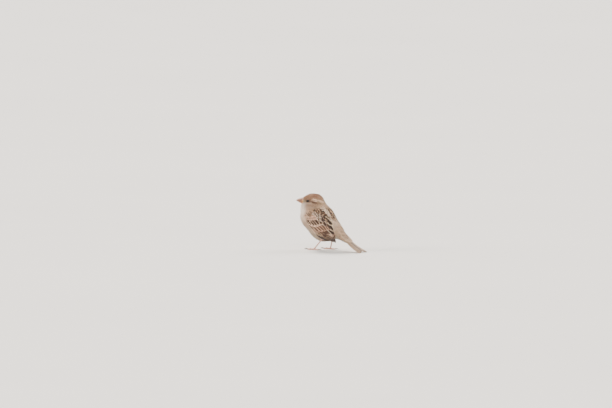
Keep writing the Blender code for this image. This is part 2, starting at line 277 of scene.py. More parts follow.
def joinedMesh(meshes):
    def build(bm):
        for mesh in meshes:
            bm.from_mesh(mesh)
    return meshFrom("joined", build)


def cleaned(mesh):
    bm = bmesh.new()
    bm.from_mesh(mesh)
    bmesh.ops.recalc_face_normals(bm, faces=bm.faces[:])
    bm.to_mesh(mesh)
    bm.free()
    return mesh


def smoothed(mesh, points, share, rounds):
    # Each point moves halfway to the middle of its neighbours, as far as its share says.
    edges = np.empty(len(mesh.edges) * 2, np.int32)
    mesh.edges.foreach_get("vertices", edges)
    a, b = edges[0::2], edges[1::2]
    count = np.maximum(np.bincount(edges, minlength=len(points)), 1)[:, None]
    for _ in range(rounds):
        total = np.zeros_like(points)
        np.add.at(total, a, points[b])
        np.add.at(total, b, points[a])
        points = points + 0.5 * share[:, None] * (total / count - points)
    return points


def treeOf(points):
    tree = KDTree(len(points))
    for i, point in enumerate(points):
        tree.insert(point, i)
    tree.balance()
    return tree


def nearestOn(points, start, end):
    # Where along a straight stretch each point's nearest place is, and how far off.
    way = end - start
    share = np.clip((points - start) @ way / (way @ way), 0, 1)
    return share, np.linalg.norm(points - start - share[:, None] * way, axis=1)


def ringFaces(rings, sides, closed=False):
    # Quads between rings of points, and from the last ring to the first where the tube closes on itself.
    faces = []
    for ring in range(rings if closed else rings - 1):
        a, b = ring * sides, (ring + 1) % rings * sides
        faces += [(a + k, b + k, b + (k + 1) % sides, a + (k + 1) % sides) for k in range(sides)]
    return faces


def plateFaces(rows, columns):
    # A closed plate: the top grid's points come first, then the underside's.
    under = rows * columns
    index = np.arange(under).reshape(rows, columns)
    quads = np.stack([index[:-1, :-1], index[:-1, 1:], index[1:, 1:], index[1:, :-1]], axis=-1).reshape(-1, 4)
    rim = np.concatenate([index[0, :], index[1:, -1], index[-1, -2::-1], index[-2:0:-1, 0]])
    after = np.roll(rim, -1)
    side = np.stack([rim, under + rim, under + after, after], axis=-1)
    return np.concatenate([quads, quads[:, ::-1] + under, side])


def tubeMesh(points, radii, sides, shape=None):
    # A closed tube. shape(angle, share) scales the radius round the section.
    points, radii = np.asarray(points, float), np.asarray(radii, float)
    course = unit(np.gradient(points, axis=0))
    side = unit(np.cross(course, np.array((0.03, 0.02, 1.0))))
    up = np.cross(side, course)
    angles = 2 * np.pi * (np.arange(sides) + 0.5) / sides
    share = np.linspace(0, 1, len(points))
    swell = np.ones((len(points), sides)) if shape is None else shape(angles[None, :], share[:, None])
    ring = side[:, None] * np.cos(angles)[None, :, None] + up[:, None] * np.sin(angles)[None, :, None]
    grid = points[:, None] + ring * (radii[:, None] * swell)[..., None]
    count = len(points)
    faces = ringFaces(count, sides) + [range(sides), range(count * sides - 1, (count - 1) * sides - 1, -1)]
    return cleaned(meshOf("tube", grid.reshape(-1, 3), faces))


def linear(code):
    # An sRGB hex colour as linear RGB.
    value = np.array([int(code[i:i + 2], 16) / 255 for i in (1, 3, 5)])
    return np.where(value <= 0.04045, value / 12.92, ((value + 0.055) / 1.055) ** 2.4)


def fill(tree, node, inputs):
    # A node's inputs by name or by place: each a value, a socket, or a node, for its first live output.
    for name, value in (inputs.items() if isinstance(inputs, dict) else enumerate(inputs)):
        if isinstance(value, bpy.types.Node):
            value = next(output for output in value.outputs if output.enabled)
        if isinstance(value, bpy.types.NodeSocket):
            tree.links.new(value, node.inputs[name])
        elif node.inputs[name].type == "RGBA":
            node.inputs[name].default_value = (*value, 1)
        else:
            node.inputs[name].default_value = value


def addNode(tree, kind, inputs=(), **settings):
    made = tree.nodes.new(kind)
    for name, value in settings.items():
        setattr(made, name, value)
    fill(tree, made, inputs)
    return made


def newMaterial(name):
    # A material, and the function that adds nodes to it.
    material = bpy.data.materials.new(name)
    material.use_nodes = True
    return material, partial(addNode, material.node_tree)


def shaded(material, inputs):
    fill(material.node_tree, material.node_tree.nodes["Principled BSDF"], inputs)
    return material


def finishPiece(obj, material, slot, *nodes):
    obj.data.materials.clear()
    obj.data.materials.append(material)
    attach(obj, "root")
    if nodes:
        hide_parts(*nodes)


# The look of every feather: barbs is how many lines cross a vane, and wobble is how fine its uneven edge is.
plumage = dict(roughness=0.78, sheen=0.22, barbs=26, bump=0.35, wobble=900.0)


def featherMaterial():
    # Feather keratin: matt barbs that catch a soft sheen, drawn coarser than real ones.
    material, add = newMaterial("featherBarbs")
    vane = add("ShaderNodeSeparateXYZ", [add("ShaderNodeUVMap", uv_map="Vane")])
    across = add("ShaderNodeMath", (vane.outputs[0], 2.0, -1.0), operation="MULTIPLY_ADD")
    across = add("ShaderNodeMath", [across], operation="ABSOLUTE")
    ground, mark, pattern = (add("ShaderNodeAttribute", attribute_name=field)
                             for field in ("ground", "mark", "pattern"))
    width, run, chance = add("ShaderNodeSeparateXYZ", [pattern.outputs["Vector"]]).outputs
    wobble = add("ShaderNodeTexNoise", {"Vector": add("ShaderNodeTexCoord").outputs["Object"],
                                        "Scale": plumage["wobble"], "Detail": 2.0})
    # The stiff feathers of wing and tail have narrow, neat edges.
    loose = add("ShaderNodeMapRange", {"Value": width, "From Min": 0.55, "From Max": 0.9,
                                       "To Min": 0.36, "To Max": 0.10})
    centred = add("ShaderNodeMath", (wobble, 0.5), operation="SUBTRACT")
    ragged = add("ShaderNodeMath", (centred, loose), operation="MULTIPLY")
    masks = []
    for place, limit, soft in ((across, width, 0.1), (vane.outputs[1], run, 0.07)):
        masks.append(add("ShaderNodeMapRange", {
            "Value": add("ShaderNodeMath", (place, ragged)), "To Min": 1.0, "To Max": 0.0,
            "From Min": add("ShaderNodeMath", (limit, soft), operation="SUBTRACT"),
            "From Max": add("ShaderNodeMath", (limit, soft))}, interpolation_type="SMOOTHSTEP"))
    mask = add("ShaderNodeMath", masks, operation="MULTIPLY")
    colour = add("ShaderNodeMix", {0: mask, 6: ground, 7: mark}, data_type="RGBA")
    # Barbs slant from the shaft towards the tip.
    slant = add("ShaderNodeMath", (across, -0.35, vane.outputs[1]), operation="MULTIPLY_ADD")
    turns = add("ShaderNodeMath", (slant, plumage["barbs"] * 2 * math.pi), operation="MULTIPLY")
    barbs = add("ShaderNodeMath", [turns], operation="SINE")
    lines = add("ShaderNodeMapRange", {"Value": barbs, "From Min": -1.0, "To Min": 0.9, "To Max": 1.06})
    variety = add("ShaderNodeMapRange", {"Value": chance, "To Min": 0.84, "To Max": 1.14})
    shade = add("ShaderNodeMath", (lines, variety), operation="MULTIPLY")
    return shaded(material, {
        "Base Color": add("ShaderNodeVectorMath", {0: colour, "Scale": shade}, operation="SCALE"),
        "Normal": add("ShaderNodeBump", {"Strength": plumage["bump"], "Distance": 0.2 * mm, "Height": barbs}),
        "Roughness": plumage["roughness"], "Sheen Weight": plumage["sheen"], "Sheen Roughness": 0.5,
        "Specular IOR Level": 0.25})


def skinMaterial():
    # Down and feather bases over the skin: the coat's markings, a little darker, as seen between feathers.
    material, add = newMaterial("downUnderFeathers")
    ground, mark = (add("ShaderNodeAttribute", attribute_name=name) for name in ("ground", "mark"))
    noise = add("ShaderNodeTexNoise", {"Vector": add("ShaderNodeTexCoord").outputs["Object"],
                                       "Scale": 1200.0, "Detail": 4.0})
    share = add("ShaderNodeMapRange", {"Value": noise, "From Min": 0.35, "From Max": 0.8,
                                       "To Min": 0.1, "To Max": 0.6})
    colour = add("ShaderNodeMix", {0: share, 6: ground, 7: mark}, data_type="RGBA")
    return shaded(material, {
        "Base Color": add("ShaderNodeVectorMath", {0: colour, "Scale": 0.75}, operation="SCALE"),
        "Normal": add("ShaderNodeBump", {"Strength": 0.6, "Distance": 0.4 * mm, "Height": noise}),
        "Roughness": 0.9, "Specular IOR Level": 0.15})


# Every colour of skin and coat. A feather's ground is its edge, and its mark is its centre.
tint = dict(crown="#ae8161", crownDark="#966346", brow="#f8d3b0", eyeLine="#573c2b", lore="#b09878",
            cheek="#ba9477", cheekLine="#8f765e", earLine="#98775a", pale="#ccb59f", malar="#776652",
            # the throat colour is the pale throat, brightened to a painted highlight
            paleThroatAndHighlight="#ffefe0", nape="#cba582", neckSide="#d2aa88", breast="#dec4ae", belly="#d8c7b1",
            # painted shade: the wing's shade on the belly below it
            paintedWingShade="#957b66",
            # the brace colour is the mantle's pale braces, also a painted highlight along the back's edge
            flank="#bf9f83", mantle="#e0b48d", mantleDark="#311d14", paleBraceAndHighlight="#fadfc2", rump="#f0d3b6",
            rumpDark="#c4a181", vent="#e0d0bc", ventDark="#ab957c")
tint = {name: linear(code) for name, code in tint.items()}


def painted(base, *steps):
    for name, share in steps:
        base = mixed(base, tint[name], share)
    return base


def headMarkings(ahead, side, up):
    # Places on the head are in millimetres ahead of its middle, to its side and up from the floor.
    sideways = smoothStep(3, 5.5, side)
    head = painted(np.tile(tint["cheek"], (len(up), 1)),
                   ("neckSide", smoothStep(65, 61, up)),
                   ("nape", smoothStep(2, -9, ahead) * smoothStep(75, 71, up)),
                   ("lore", smoothStep(9.5, 12.0, ahead) * smoothStep(67.5, 69.5, up)))
    browUp = 73.2 + 0.11 * (ahead - 0.9)
    crown = smoothStep(browUp + 0.9, browUp + 2.1, up) * smoothStep(-13.5, -9.5, ahead)
    crown = np.maximum(crown, smoothStep(2.5, 4.5, ahead) * smoothStep(71.8, 73.4, up))
    darker = 0.6 * crown * smoothStep(5.0, 2.0, np.abs(ahead - 0.5 + 0.8 * (up - 77)))
    head = painted(head, ("crown", crown), ("crownDark", darker))
    # Bands along the head: share, middle height, half-thickness, softness, and where they start and end.
    for name, share, middle, half, soft, start, end in (
            ("brow", 1.0, browUp, 1.2, 0.5, 2.6, -16.0),
            ("eyeLine", 0.95, 70.3 - 0.19 * (4.2 - ahead), 1.05, 0.45, 5.0, -6.5),
            ("earLine", 0.8, 68.5 + 1.0 * (ahead + 8.7), 1.3, 0.7, -3.0, -10.5),
            ("pale", 0.7, 68.0, 0.55, 0.4, 11.5, 3.0),
            ("cheekLine", 0.75, 65.9, 0.6, 0.4, 11.0, 2.5),
            ("pale", 0.4, 64.0, 0.9, 0.5, 9.5, -4.0)):
        within = smoothStep(start, start - 1.5, ahead) * smoothStep(end, end + 2.5, ahead)
        band = smoothStep(half + soft, half - soft, np.abs(up - middle))
        head = painted(head, (name, share * within * band * sideways))
    eyeRing = np.hypot(ahead - stance["eyeAhead"], 1.2 * (up - stance["eyeUp"]))
    malar = np.hypot(ahead - 13.6, up - 66.0)
    # The chin takes the throat's pale colour, which is brightened to a painted highlight.
    chin = smoothStep(68.2, 66.4, up - 0.25 * (side - 2)) * smoothStep(7.0, 15.0, ahead - 0.2 * side)
    return painted(head, ("eyeLine", 0.6 * smoothStep(4.0, 2.8, eyeRing) * sideways),
                   ("malar", 0.8 * smoothStep(1.7, 0.8, malar) * sideways), ("paleThroatAndHighlight", chin))


def markings(points, normals):
    # ground and mark are colours. pattern is how wide a feather's centre is, how far it runs and how much
    # feathers differ in shade. down is the height over the floor, and along runs down the back to the tail.
    ahead, side, up = headPlace(points)
    side = np.abs(side)
    lateral, lengthways, down = np.abs(points[:, 0]), points[:, 1], points[:, 2]
    along = (points - trunkMiddle) @ tailWay
    dorsal = smoothStep(-0.15, 0.35, normals @ backWay)
    count = len(points)
    # Underside, flanks, and painted shade on the belly and flank where the wing shades them
    shade = smoothStep(24, 19, down) * smoothStep(-3, 3, lengthways) * smoothStep(24, 16, lengthways)
    ground = painted(np.tile(tint["breast"], (count, 1)), ("belly", smoothStep(46, 34, down)),
                     ("flank", 0.75 * (smoothStep(9, 17, lateral) * smoothStep(58, 48, down))),
                     ("paintedWingShade", 0.85 * shade))
    mark = 0.45 * np.tile(tint["flank"], (count, 1)) + 0.55 * ground
    # Vent, sides of the neck, back and rump
    vent = smoothStep(16, 26, along)
    neckSide = smoothStep(47, 57, down) * smoothStep(-0.75, -0.1, normals[:, 1])
    mantle = dorsal * smoothStep(68.5, 62, down) * smoothStep(-36, -28, along)
    # Pale braces down the mantle, also a painted highlight where the back's edge would catch the light
    paleBraceAndHighlight = mantle * smoothStep(2.6, 1.2, np.abs(lateral - 6.4))
    rump = dorsal * smoothStep(-8, 5, along + 0.25 * (lateral - 6))
    ground = painted(ground, ("vent", vent), ("neckSide", neckSide), ("mantle", mantle), ("paleBraceAndHighlight", paleBraceAndHighlight),
                     ("rump", rump), ("rumpDark", 0.8 * rump * smoothStep(4, 14, along)))
    mark = painted(mark, ("ventDark", vent), ("mantleDark", mantle), ("rumpDark", rump))
    streaked = mantle * (1 - rump)
    rows = 0.26 * smoothStep(2.2, 0.8, np.abs(lateral - 10.0)) + 0.2 * smoothStep(3.8, 2.0, lateral)
    width = mixed(0.3, (0.46 + rows - 0.34 * paleBraceAndHighlight) * smoothStep(68, 61, down), streaked)
    run = mixed(0.75, 0.86, streaked)
    # Head and throat, whose front carries a painted highlight
    headed = smoothStep(58.5, 63.5, down + 0.18 * np.maximum(ahead, 0) + 0.45 * np.minimum(ahead, 0))
    head = headMarkings(ahead, side, up)
    # Surfaces facing the way of the bill take the pale throat colour: real pale feathers, brightened into a
    # painted highlight.
    paleThroatAndHighlight = smoothStep(0.1, 0.95, normals @ billWay) * smoothStep(70, 66, down) * smoothStep(44, 60, down)
    ground = painted(mixed(ground, head, headed), ("paleThroatAndHighlight", 0.85 * paleThroatAndHighlight * smoothStep(12, 6, side)))
    mark = mixed(mark, head * 0.72, headed)
    variety = 0.35 + 0.65 * np.maximum(streaked, mantle) + 0.15 * headed
    pattern = np.stack([mixed(width, 0.4, headed), run, variety.clip(0, 1)], axis=1)
    return np.clip(ground, 0, 1), np.clip(mark, 0, 1), pattern


# The lids' opening and the skin's height over the eyeball in millimetres, the beads round the rim, and the
# rim's section: the angle past the opening and the height over the eyeball
lids = dict(halfLong=2.3, halfHigh=1.7, skin=0.22, beads=34,
            section=((0.00, -0.15), (0.005, 0.10), (0.04, 0.26), (0.10, 0.32), (0.17, 0.28), (0.24, 0.12),
                     (0.24, -0.6), (0.05, -0.6)),
            look=dict(dark="#5c4a3e", pale="#93806b", seam="#4a3b31", pebbles=2600.0, roughness=0.6))

# The coat's depth and its feathers' length and width in millimetres, on body, head and face, and how wide a
# feather's patch is on the bake map
coat = dict(depth=(2.6, 1.3, 0.8), length=(10.5, 4.6, 1.9), width=(4.2, 2.1, 1.05), patch=0.003)


def coatDepth(points):
    ahead, side, up = headPlace(points)
    face = smoothStep(5.0, 14.0, ahead - 0.12 * np.abs(side)) * smoothStep(62, 66, up)
    body, head, small = coat["depth"]
    return mixed(mixed(body, head, smoothStep(56, 66, up + 0.1 * ahead)), small, face)


def featherSizes(points):
    ahead, side, up = headPlace(points)
    face = smoothStep(2.0, 13.0, ahead - 0.1 * np.abs(side)) * smoothStep(60, 66, up)
    headed = smoothStep(54, 68, up + 0.15 * ahead)
    return (mixed(mixed(body, head, headed), small, face)
            for body, head, small in (coat["length"], coat["width"]))


def lieOf(points, normals):
    # Feathers point away from the bill, and on the body towards the tail.
    fromBill = points - headPoint(billRoot["ahead"], 0, billRoot["up"])
    far = smoothStep(13, 34, np.linalg.norm(fromBill, axis=1))
    lie = unit(mixed(unit(fromBill), tailWay, far))
    return unit(lie - normals * np.sum(lie * normals, axis=1, keepdims=True))


def unwrapSkin(points):
    # The skin unrolled round a path from bill to tail: the turn about it across, the way along it up.
    middles = (headPoint(17, 0, 70.5), headPoint(6, 0, 69), headPoint(-3, 0, 66), (0.5, -6, 57), (0, -2, 47),
               (0, 8, 36), (0, 22, 29), (0, 36, 23), (0, 53, 12))
    path = smoothRow(middles, np.linspace(0, 1, 160))
    course = unit(np.gradient(path, axis=0))
    find = treeOf(path).find
    nearest = np.array([find(point)[1] for point in points])
    rel = points - path[nearest]
    left = unit(np.cross(course, np.array((0, 0.3, 1.0))))[nearest]
    above = np.cross(left, course[nearest])
    turn = np.arctan2(np.sum(rel * left, axis=1), np.sum(rel * above, axis=1))
    steps = np.concatenate([[0], np.cumsum(np.linalg.norm(np.diff(path, axis=0), axis=1))])
    slide = np.sum(rel * course[nearest], axis=1)
    way = np.clip((steps[nearest] + slide) / steps[-1], -0.08, 1.08)
    return np.stack([0.5 + turn / (2 * np.pi) * 0.96, 0.08 + 0.84 * way, np.zeros(len(points))], axis=1)


def mirroredPoints(points):
    return points * np.array((-1.0, 1.0, 1.0))


def wingCore(along, across):
    # How high the core's top stands over the wing's base, and how free of the body it is.
    free = smoothStep(0.56, 0.66, along)
    lengthways = smoothStep(0.63, 0.52, along) * smoothStep(-0.02, 0.20, along)
    inside = lengthways * smoothStep(-0.06, 0.34, across) * smoothStep(1.0, 0.88, across)
    high = np.interp(along, (0.0, 0.2, 0.35, 0.5, 0.62, 0.76), (0.5, 0.6, 0.35, 0.05, -0.1, -0.2))
    low = -2.5 * (1 - free) - 0.3 * free
    return low + (high - low) * inside, free


def eyeMiddle(sign):
    return headPoint(stance["eyeAhead"], sign * stance["eyeSide"], stance["eyeUp"])


def eyeAxes(sign):
    outward = unit(headLeft * sign + billWay * 0.22 + upWay * 0.03)
    forward = unit(billWay - outward * (billWay @ outward))
    return outward, forward, np.cross(outward, forward) * sign


def lidOpening(phi):
    # The lids' edge as an angle off the eye's axis. The corners are drawn out a little, front and back.
    long, high = lids["halfLong"], lids["halfHigh"]
    reach = long * high / np.hypot(high * np.cos(phi), long * np.sin(phi))
    reach = reach * (1 + 0.10 * np.abs(np.cos(phi)) ** 6)
    return np.arcsin(np.clip(reach / stance["eyeRadius"], 0, 0.98))


def eyePoints(sign, theta, phi, radius):
    # Points round the eye's axis: theta off it, and phi round it.
    outward, forward, rise = eyeAxes(sign)
    ring = forward * np.cos(phi)[:, None] + rise * np.sin(phi)[:, None]
    way = outward * np.cos(theta)[..., None] + ring * np.sin(theta)[..., None]
    return eyeMiddle(sign) + np.asarray(radius)[..., None] * way


def lidAngle(rel, sign):
    # How far outside the lids' edge a direction from the eye's middle points, as an angle.
    outward, forward, rise = eyeAxes(sign)
    way = unit(rel)
    phi = np.arctan2(way @ rise, way @ forward)
    return np.arccos(np.clip(way @ outward, -1, 1)) - lidOpening(phi)


def wingCores():
    # The wing's arm and hand lie on the body as thin cores, which the wing feathers cover.
    rows, columns = 40, 22
    along, across = wingGrid(rows, columns, 0.63)
    base, outward, _ = wingFrame(along, across)
    top, free = wingCore(along, across)
    outer = base + outward * top[:, None]
    inner = base - outward * mixed(4.6, 0.55, free)[:, None]
    points = np.concatenate([outer, inner])
    faces = plateFaces(rows, columns)
    return [cleaned(meshOf("core", turn(points), faces)) for turn in (np.array, mirroredPoints)]


def makeSkin():
    # The body's masses melt into one surface, which takes the wings' cores and a mound round each eye.
    body = remeshed(ballsMesh(
        Matrix.Translation(middle) @ Matrix(turned(pitch, yaw)).to_4x4() @ Matrix.Diagonal((*sizes, 1))
        for middle, sizes, pitch, yaw in masses.values()), 1.6)
    points = settle(pointsOf(body), 0.0, 6)
    setPoints(body, settle(points, -coatDepth(points), 6))
    eyeReach = stance["eyeRadius"]
    mounds = ballsMesh((Matrix.Translation(eyeMiddle(sign)) for sign in (1, -1)), eyeReach + lids["skin"])
    skin = remeshed(joinedMesh([body, *wingCores(), mounds]), 0.8)
    points = pointsOf(skin)
    gap = bodyLevel(points) + coatDepth(points)
    away = np.min([np.linalg.norm(points - eyeMiddle(sign), axis=1) for sign in (1, -1)], axis=0)
    onBody = (np.abs(gap) < 0.55) & (away > eyeReach + 1.2)
    points[onBody] -= gap[onBody, None] * bodyNormal(points[onBody])
    # Creases soften, except on the face, so that feathers run over them.
    ahead, _, up = headPlace(points)
    onFace = smoothStep(2, 8, ahead) * smoothStep(61, 65, up)
    points = smoothed(skin, points, smoothStep(eyeReach + 4.5, eyeReach + 7.0, away) * (1 - onFace), 14)
    # The skin dips behind each eye's opening.
    for sign in (1, -1):
        rel = points - eyeMiddle(sign)
        reach = np.linalg.norm(rel, axis=1)
        inside = (lidAngle(rel, sign) < 0.0) & (reach < eyeReach + 1.5)
        points[inside] = eyeMiddle(sign) + unit(rel[inside]) * np.minimum(reach[inside], 2.4)[:, None]
    setPoints(skin, points)
    return skin


def wingCover(points):
    # How far a skin point is from the wing's own feathers, and its place on the wing.
    along, across = wingGrid(60, 30)
    base, outward, depth = wingFrame(along, across)
    find = treeOf(base + outward * depth[:, None] * 0.6).find
    index, far = (np.array(found) for found in zip(*(find((abs(x), y, z))[1:] for x, y, z in points)))
    across = across[index]
    lowered = (across - wing["farLower"]) / (1 - wing["farLower"])
    return far, along[index], np.where(points[:, 0] < 0, lowered, across)


# The feathers over the wing's front and top: their colours and patterns, how far back the fine ones reach,
# and the dark streaks among them, with their half-width and each one's two ends as (along, across).
shoulder = dict(
    patterns=((0.34, 0.9, 1.0), (0.42, 0.8, 0.8)),
    tones=dict(scapular="#f6dac0", scapularMark="#452c20", wrist="#cca185", wristMark="#7c5a44",
               streak="#94705a", streakMark="#3a261b"),
    back=0.24, half=1.5, streaks=(
        ((0.00, 0.14), (0.04, 0.24)), ((0.03, 0.26), (0.14, 0.60)), ((0.13, 0.06), (0.18, 0.13)),
        ((0.26, 0.03), (0.32, 0.12)), ((0.33, 0.18), (0.42, 0.30)), ((0.09, 0.86), (0.16, 0.98))))


def wingShares(points):
    # How much a skin point belongs to the wing, to its scapulars, to its front, to the part that its long
    # feathers hide, and to a dark streak.
    far, along, across = wingCover(points)
    reachOut = 2.6 + 1.2 * smoothStep(0.45, 0.6, along)
    onWing = smoothStep(reachOut, reachOut - 1.0, far) * smoothStep(0.0, 0.05, along)
    # The scapulars cover the wing down to a share of its width that shrinks towards the tail.
    edge = 0.40 - 0.28 * smoothStep(0.38, 0.66, along)
    scapular = onWing * smoothStep(0.05, -0.05, across - edge) * smoothStep(0.66, 0.58, along)
    # The wing's front is covered by feathers as fine as the body's.
    back = shoulder["back"] - 0.09 * across
    wrist = onWing * (1 - scapular) * smoothStep(back, back - 0.06, along)
    covered = onWing * (1 - scapular) * (1 - wrist)
    covered = covered * smoothStep(0.06, 0.14, along) * smoothStep(1.02, 0.93, across)
    place = np.stack([along, across], axis=1) * wing["size"]
    streaks = np.zeros(len(points))
    for ends in shoulder["streaks"]:
        _, away = nearestOn(place, *np.array(ends) * wing["size"])
        streaks = np.maximum(streaks, smoothStep(shoulder["half"] + 0.7, shoulder["half"] - 0.7, away))
    return onWing, scapular, wrist, covered, streaks * smoothStep(5.0, 3.5, far)


def zonesOf(points, normals, scapular, wrist):
    # How much a skin point belongs to each coat.
    ahead, side, up = headPlace(points)
    height = points[:, 2]
    headed = smoothStep(57.5, 61.5, up + 0.16 * ahead)
    face = smoothStep(1.5, 5.5, ahead - 0.1 * np.abs(side)) * headed * smoothStep(62, 65, up)
    facingUp = smoothStep(-0.1, 0.2, normals @ backWay)
    dorsal = np.maximum(facingUp * (1 - headed), np.maximum(scapular, wrist))
    rump = dorsal * smoothStep(4, 10, (points - trunkMiddle) @ tailWay)
    ventral = (1 - dorsal) * (1 - headed)
    low = smoothStep(42, 36, height)
    top = np.maximum(facingUp * (1 - rump) * smoothStep(67.0, 64.5, height) * smoothStep(-4, -8, ahead),
                     dorsal * (1 - rump) * smoothStep(64.5, 62.0, height))
    return dict(streakZone=np.maximum(top, scapular), faceZone=face, crownZone=(headed - face).clip(0, 1),
                mantleZone=dorsal * (1 - rump), rumpZone=rump, breastZone=ventral * (1 - low),
                bellyZone=ventral * low)


def dressSkin(skin):
    # Writes on the skin what the feathers read: colours, sizes, their lie and the zones of each coat.
    points, normals = pointsOf(skin), pointsOf(skin, "normal")
    ground, mark, pattern = markings(points, normals)
    length, width = featherSizes(points)
    ahead, side, up = headPlace(points)
    onWing, scapular, wrist, covered, streaks = wingShares(points)

    def dressed(values, onScapular, onWrist):
        return mixed(mixed(values, np.array(onScapular), scapular), np.array(onWrist), wrist)

    tones = {name: linear(code) for name, code in shoulder["tones"].items()}
    ground = dressed(ground, tones["scapular"], tones["wrist"])
    ground = mixed(ground, tones["streak"], (0.5 + 0.3 * wrist) * streaks)
    mark = dressed(mark, tones["scapularMark"], tones["wristMark"])
    mark = mixed(mark, tones["streakMark"], streaks)
    pattern = dressed(pattern, *shoulder["patterns"])
    pattern[:, 0] += 0.45 * streaks
    length = length * (1 - 0.4 * wrist)
    width = width * (1 - 0.25 * wrist)
    lift = mixed(coatDepth(points), 1.25 + 1.0 * scapular + 0.5 * wrist, onWing)
    # Bare of coat: inside the bill, at the eyes, and under the wing's feathers.
    fromBill = np.hypot(side, (up - billRoot["up"]) * 0.95)
    inBill = smoothStep(13.6, 14.6, ahead) * smoothStep(5.0, 4.2, fromBill)
    eyes = np.zeros(len(points))
    for sign in (1, -1):
        rel = points - eyeMiddle(sign)
        reach = np.linalg.norm(rel, axis=1)
        eyes = np.maximum(eyes, smoothStep(0.16, 0.08, lidAngle(rel, sign)) * (reach < 5))
        near = smoothStep(6.5, 3.2, reach)
        length = length * (1 - 0.5 * near)
        width = width * (1 - 0.35 * near)
        lift = lift * (1 - 0.6 * near)
    # Shorter and flatter towards the tail's root
    ending = smoothStep(28, 38, (points - trunkMiddle) @ tailWay)
    lift = lift * (1 - 0.45 * ending)
    length = length * (1 - 0.25 * ending)
    grown = (1 - inBill) * (1 - eyes) * (1 - covered)
    unrolled = unwrapSkin(points)
    setAttributes(skin, "FLOAT_COLOR", dict(ground=ground, mark=mark))
    setAttributes(skin, "FLOAT_VECTOR", dict(pattern=pattern, lie=lieOf(points, normals),
                                             skinNormal=normals, rootPlace=unrolled))
    setAttributes(skin, "FLOAT", dict(featherLength=length * mm, featherWidth=width * mm, lift=lift * mm))
    setAttributes(skin, "FLOAT", {
        name: zone * grown for name, zone in zonesOf(points, normals, scapular, wrist).items()})
    setMap(skin, "OFBake", unrolled[:, :2])
    setPoints(skin, placed(points))
    skin.shade_smooth()


# The coat: tufts of barbs scattered on the skin and laid along it

def tuftTemplate(name, blades, rings, seed, splay=0.42, ridge=0.05, camber=0.12):
    # A feather of unit length and width: narrow barb bundles that spread from the shaft's foot into an oval.
    chance = np.random.default_rng(seed)
    rows, faces = [], []
    last = 3 * (rings - 1)
    bundle = [(0, 1, 2), *ringFaces(rings, 3), *((last + j, last + 3, last + (j + 1) % 3) for j in range(3))]
    for i in range(blades):
        u = -1 + 2 * i / (blades - 1) + chance.uniform(-0.04, 0.04)
        reach = (1 - 0.30 * u * u) * chance.uniform(0.90, 1.05)
        faces += [[len(rows) + corner for corner in face] for face in bundle]
        for share in (*np.linspace(0, 0.72, rings), 1.0):
            opened = 0.25 + 0.75 * math.sin(min(share * 1.7, 1.0) * math.pi / 2) - 0.14 * share
            level = -camber * u * u * (0.4 + 0.6 * share)
            half = 1.45 * splay / blades * (0.75 + 0.6 * math.sin(share * math.pi))
            for dx, dz in ((-half, 0.0), (0.0, ridge), (half, 0.0)) if share < 1 else ((0.0, 0.0),):
                rows.append((u * splay * opened + dx, share * reach, level + dz, u + dx / splay))
    # Heights don't grow with the feather, so its own points stay flat until it is laid.
    x, y, height, u = np.array(rows).T
    mesh = cleaned(meshOf(name, np.stack([x, y, height], axis=1), faces))
    setPoints(mesh, np.stack([x, y, 0 * y], axis=1))
    setAttributes(mesh, "FLOAT", dict(rise=y, height=height * mm))
    setMap(mesh, "Vane", np.stack([0.5 + 0.5 * u.clip(-1, 1), np.minimum(y, 1)], axis=1))
    mesh.shade_smooth()
    return bpy.data.objects.new(name, mesh)


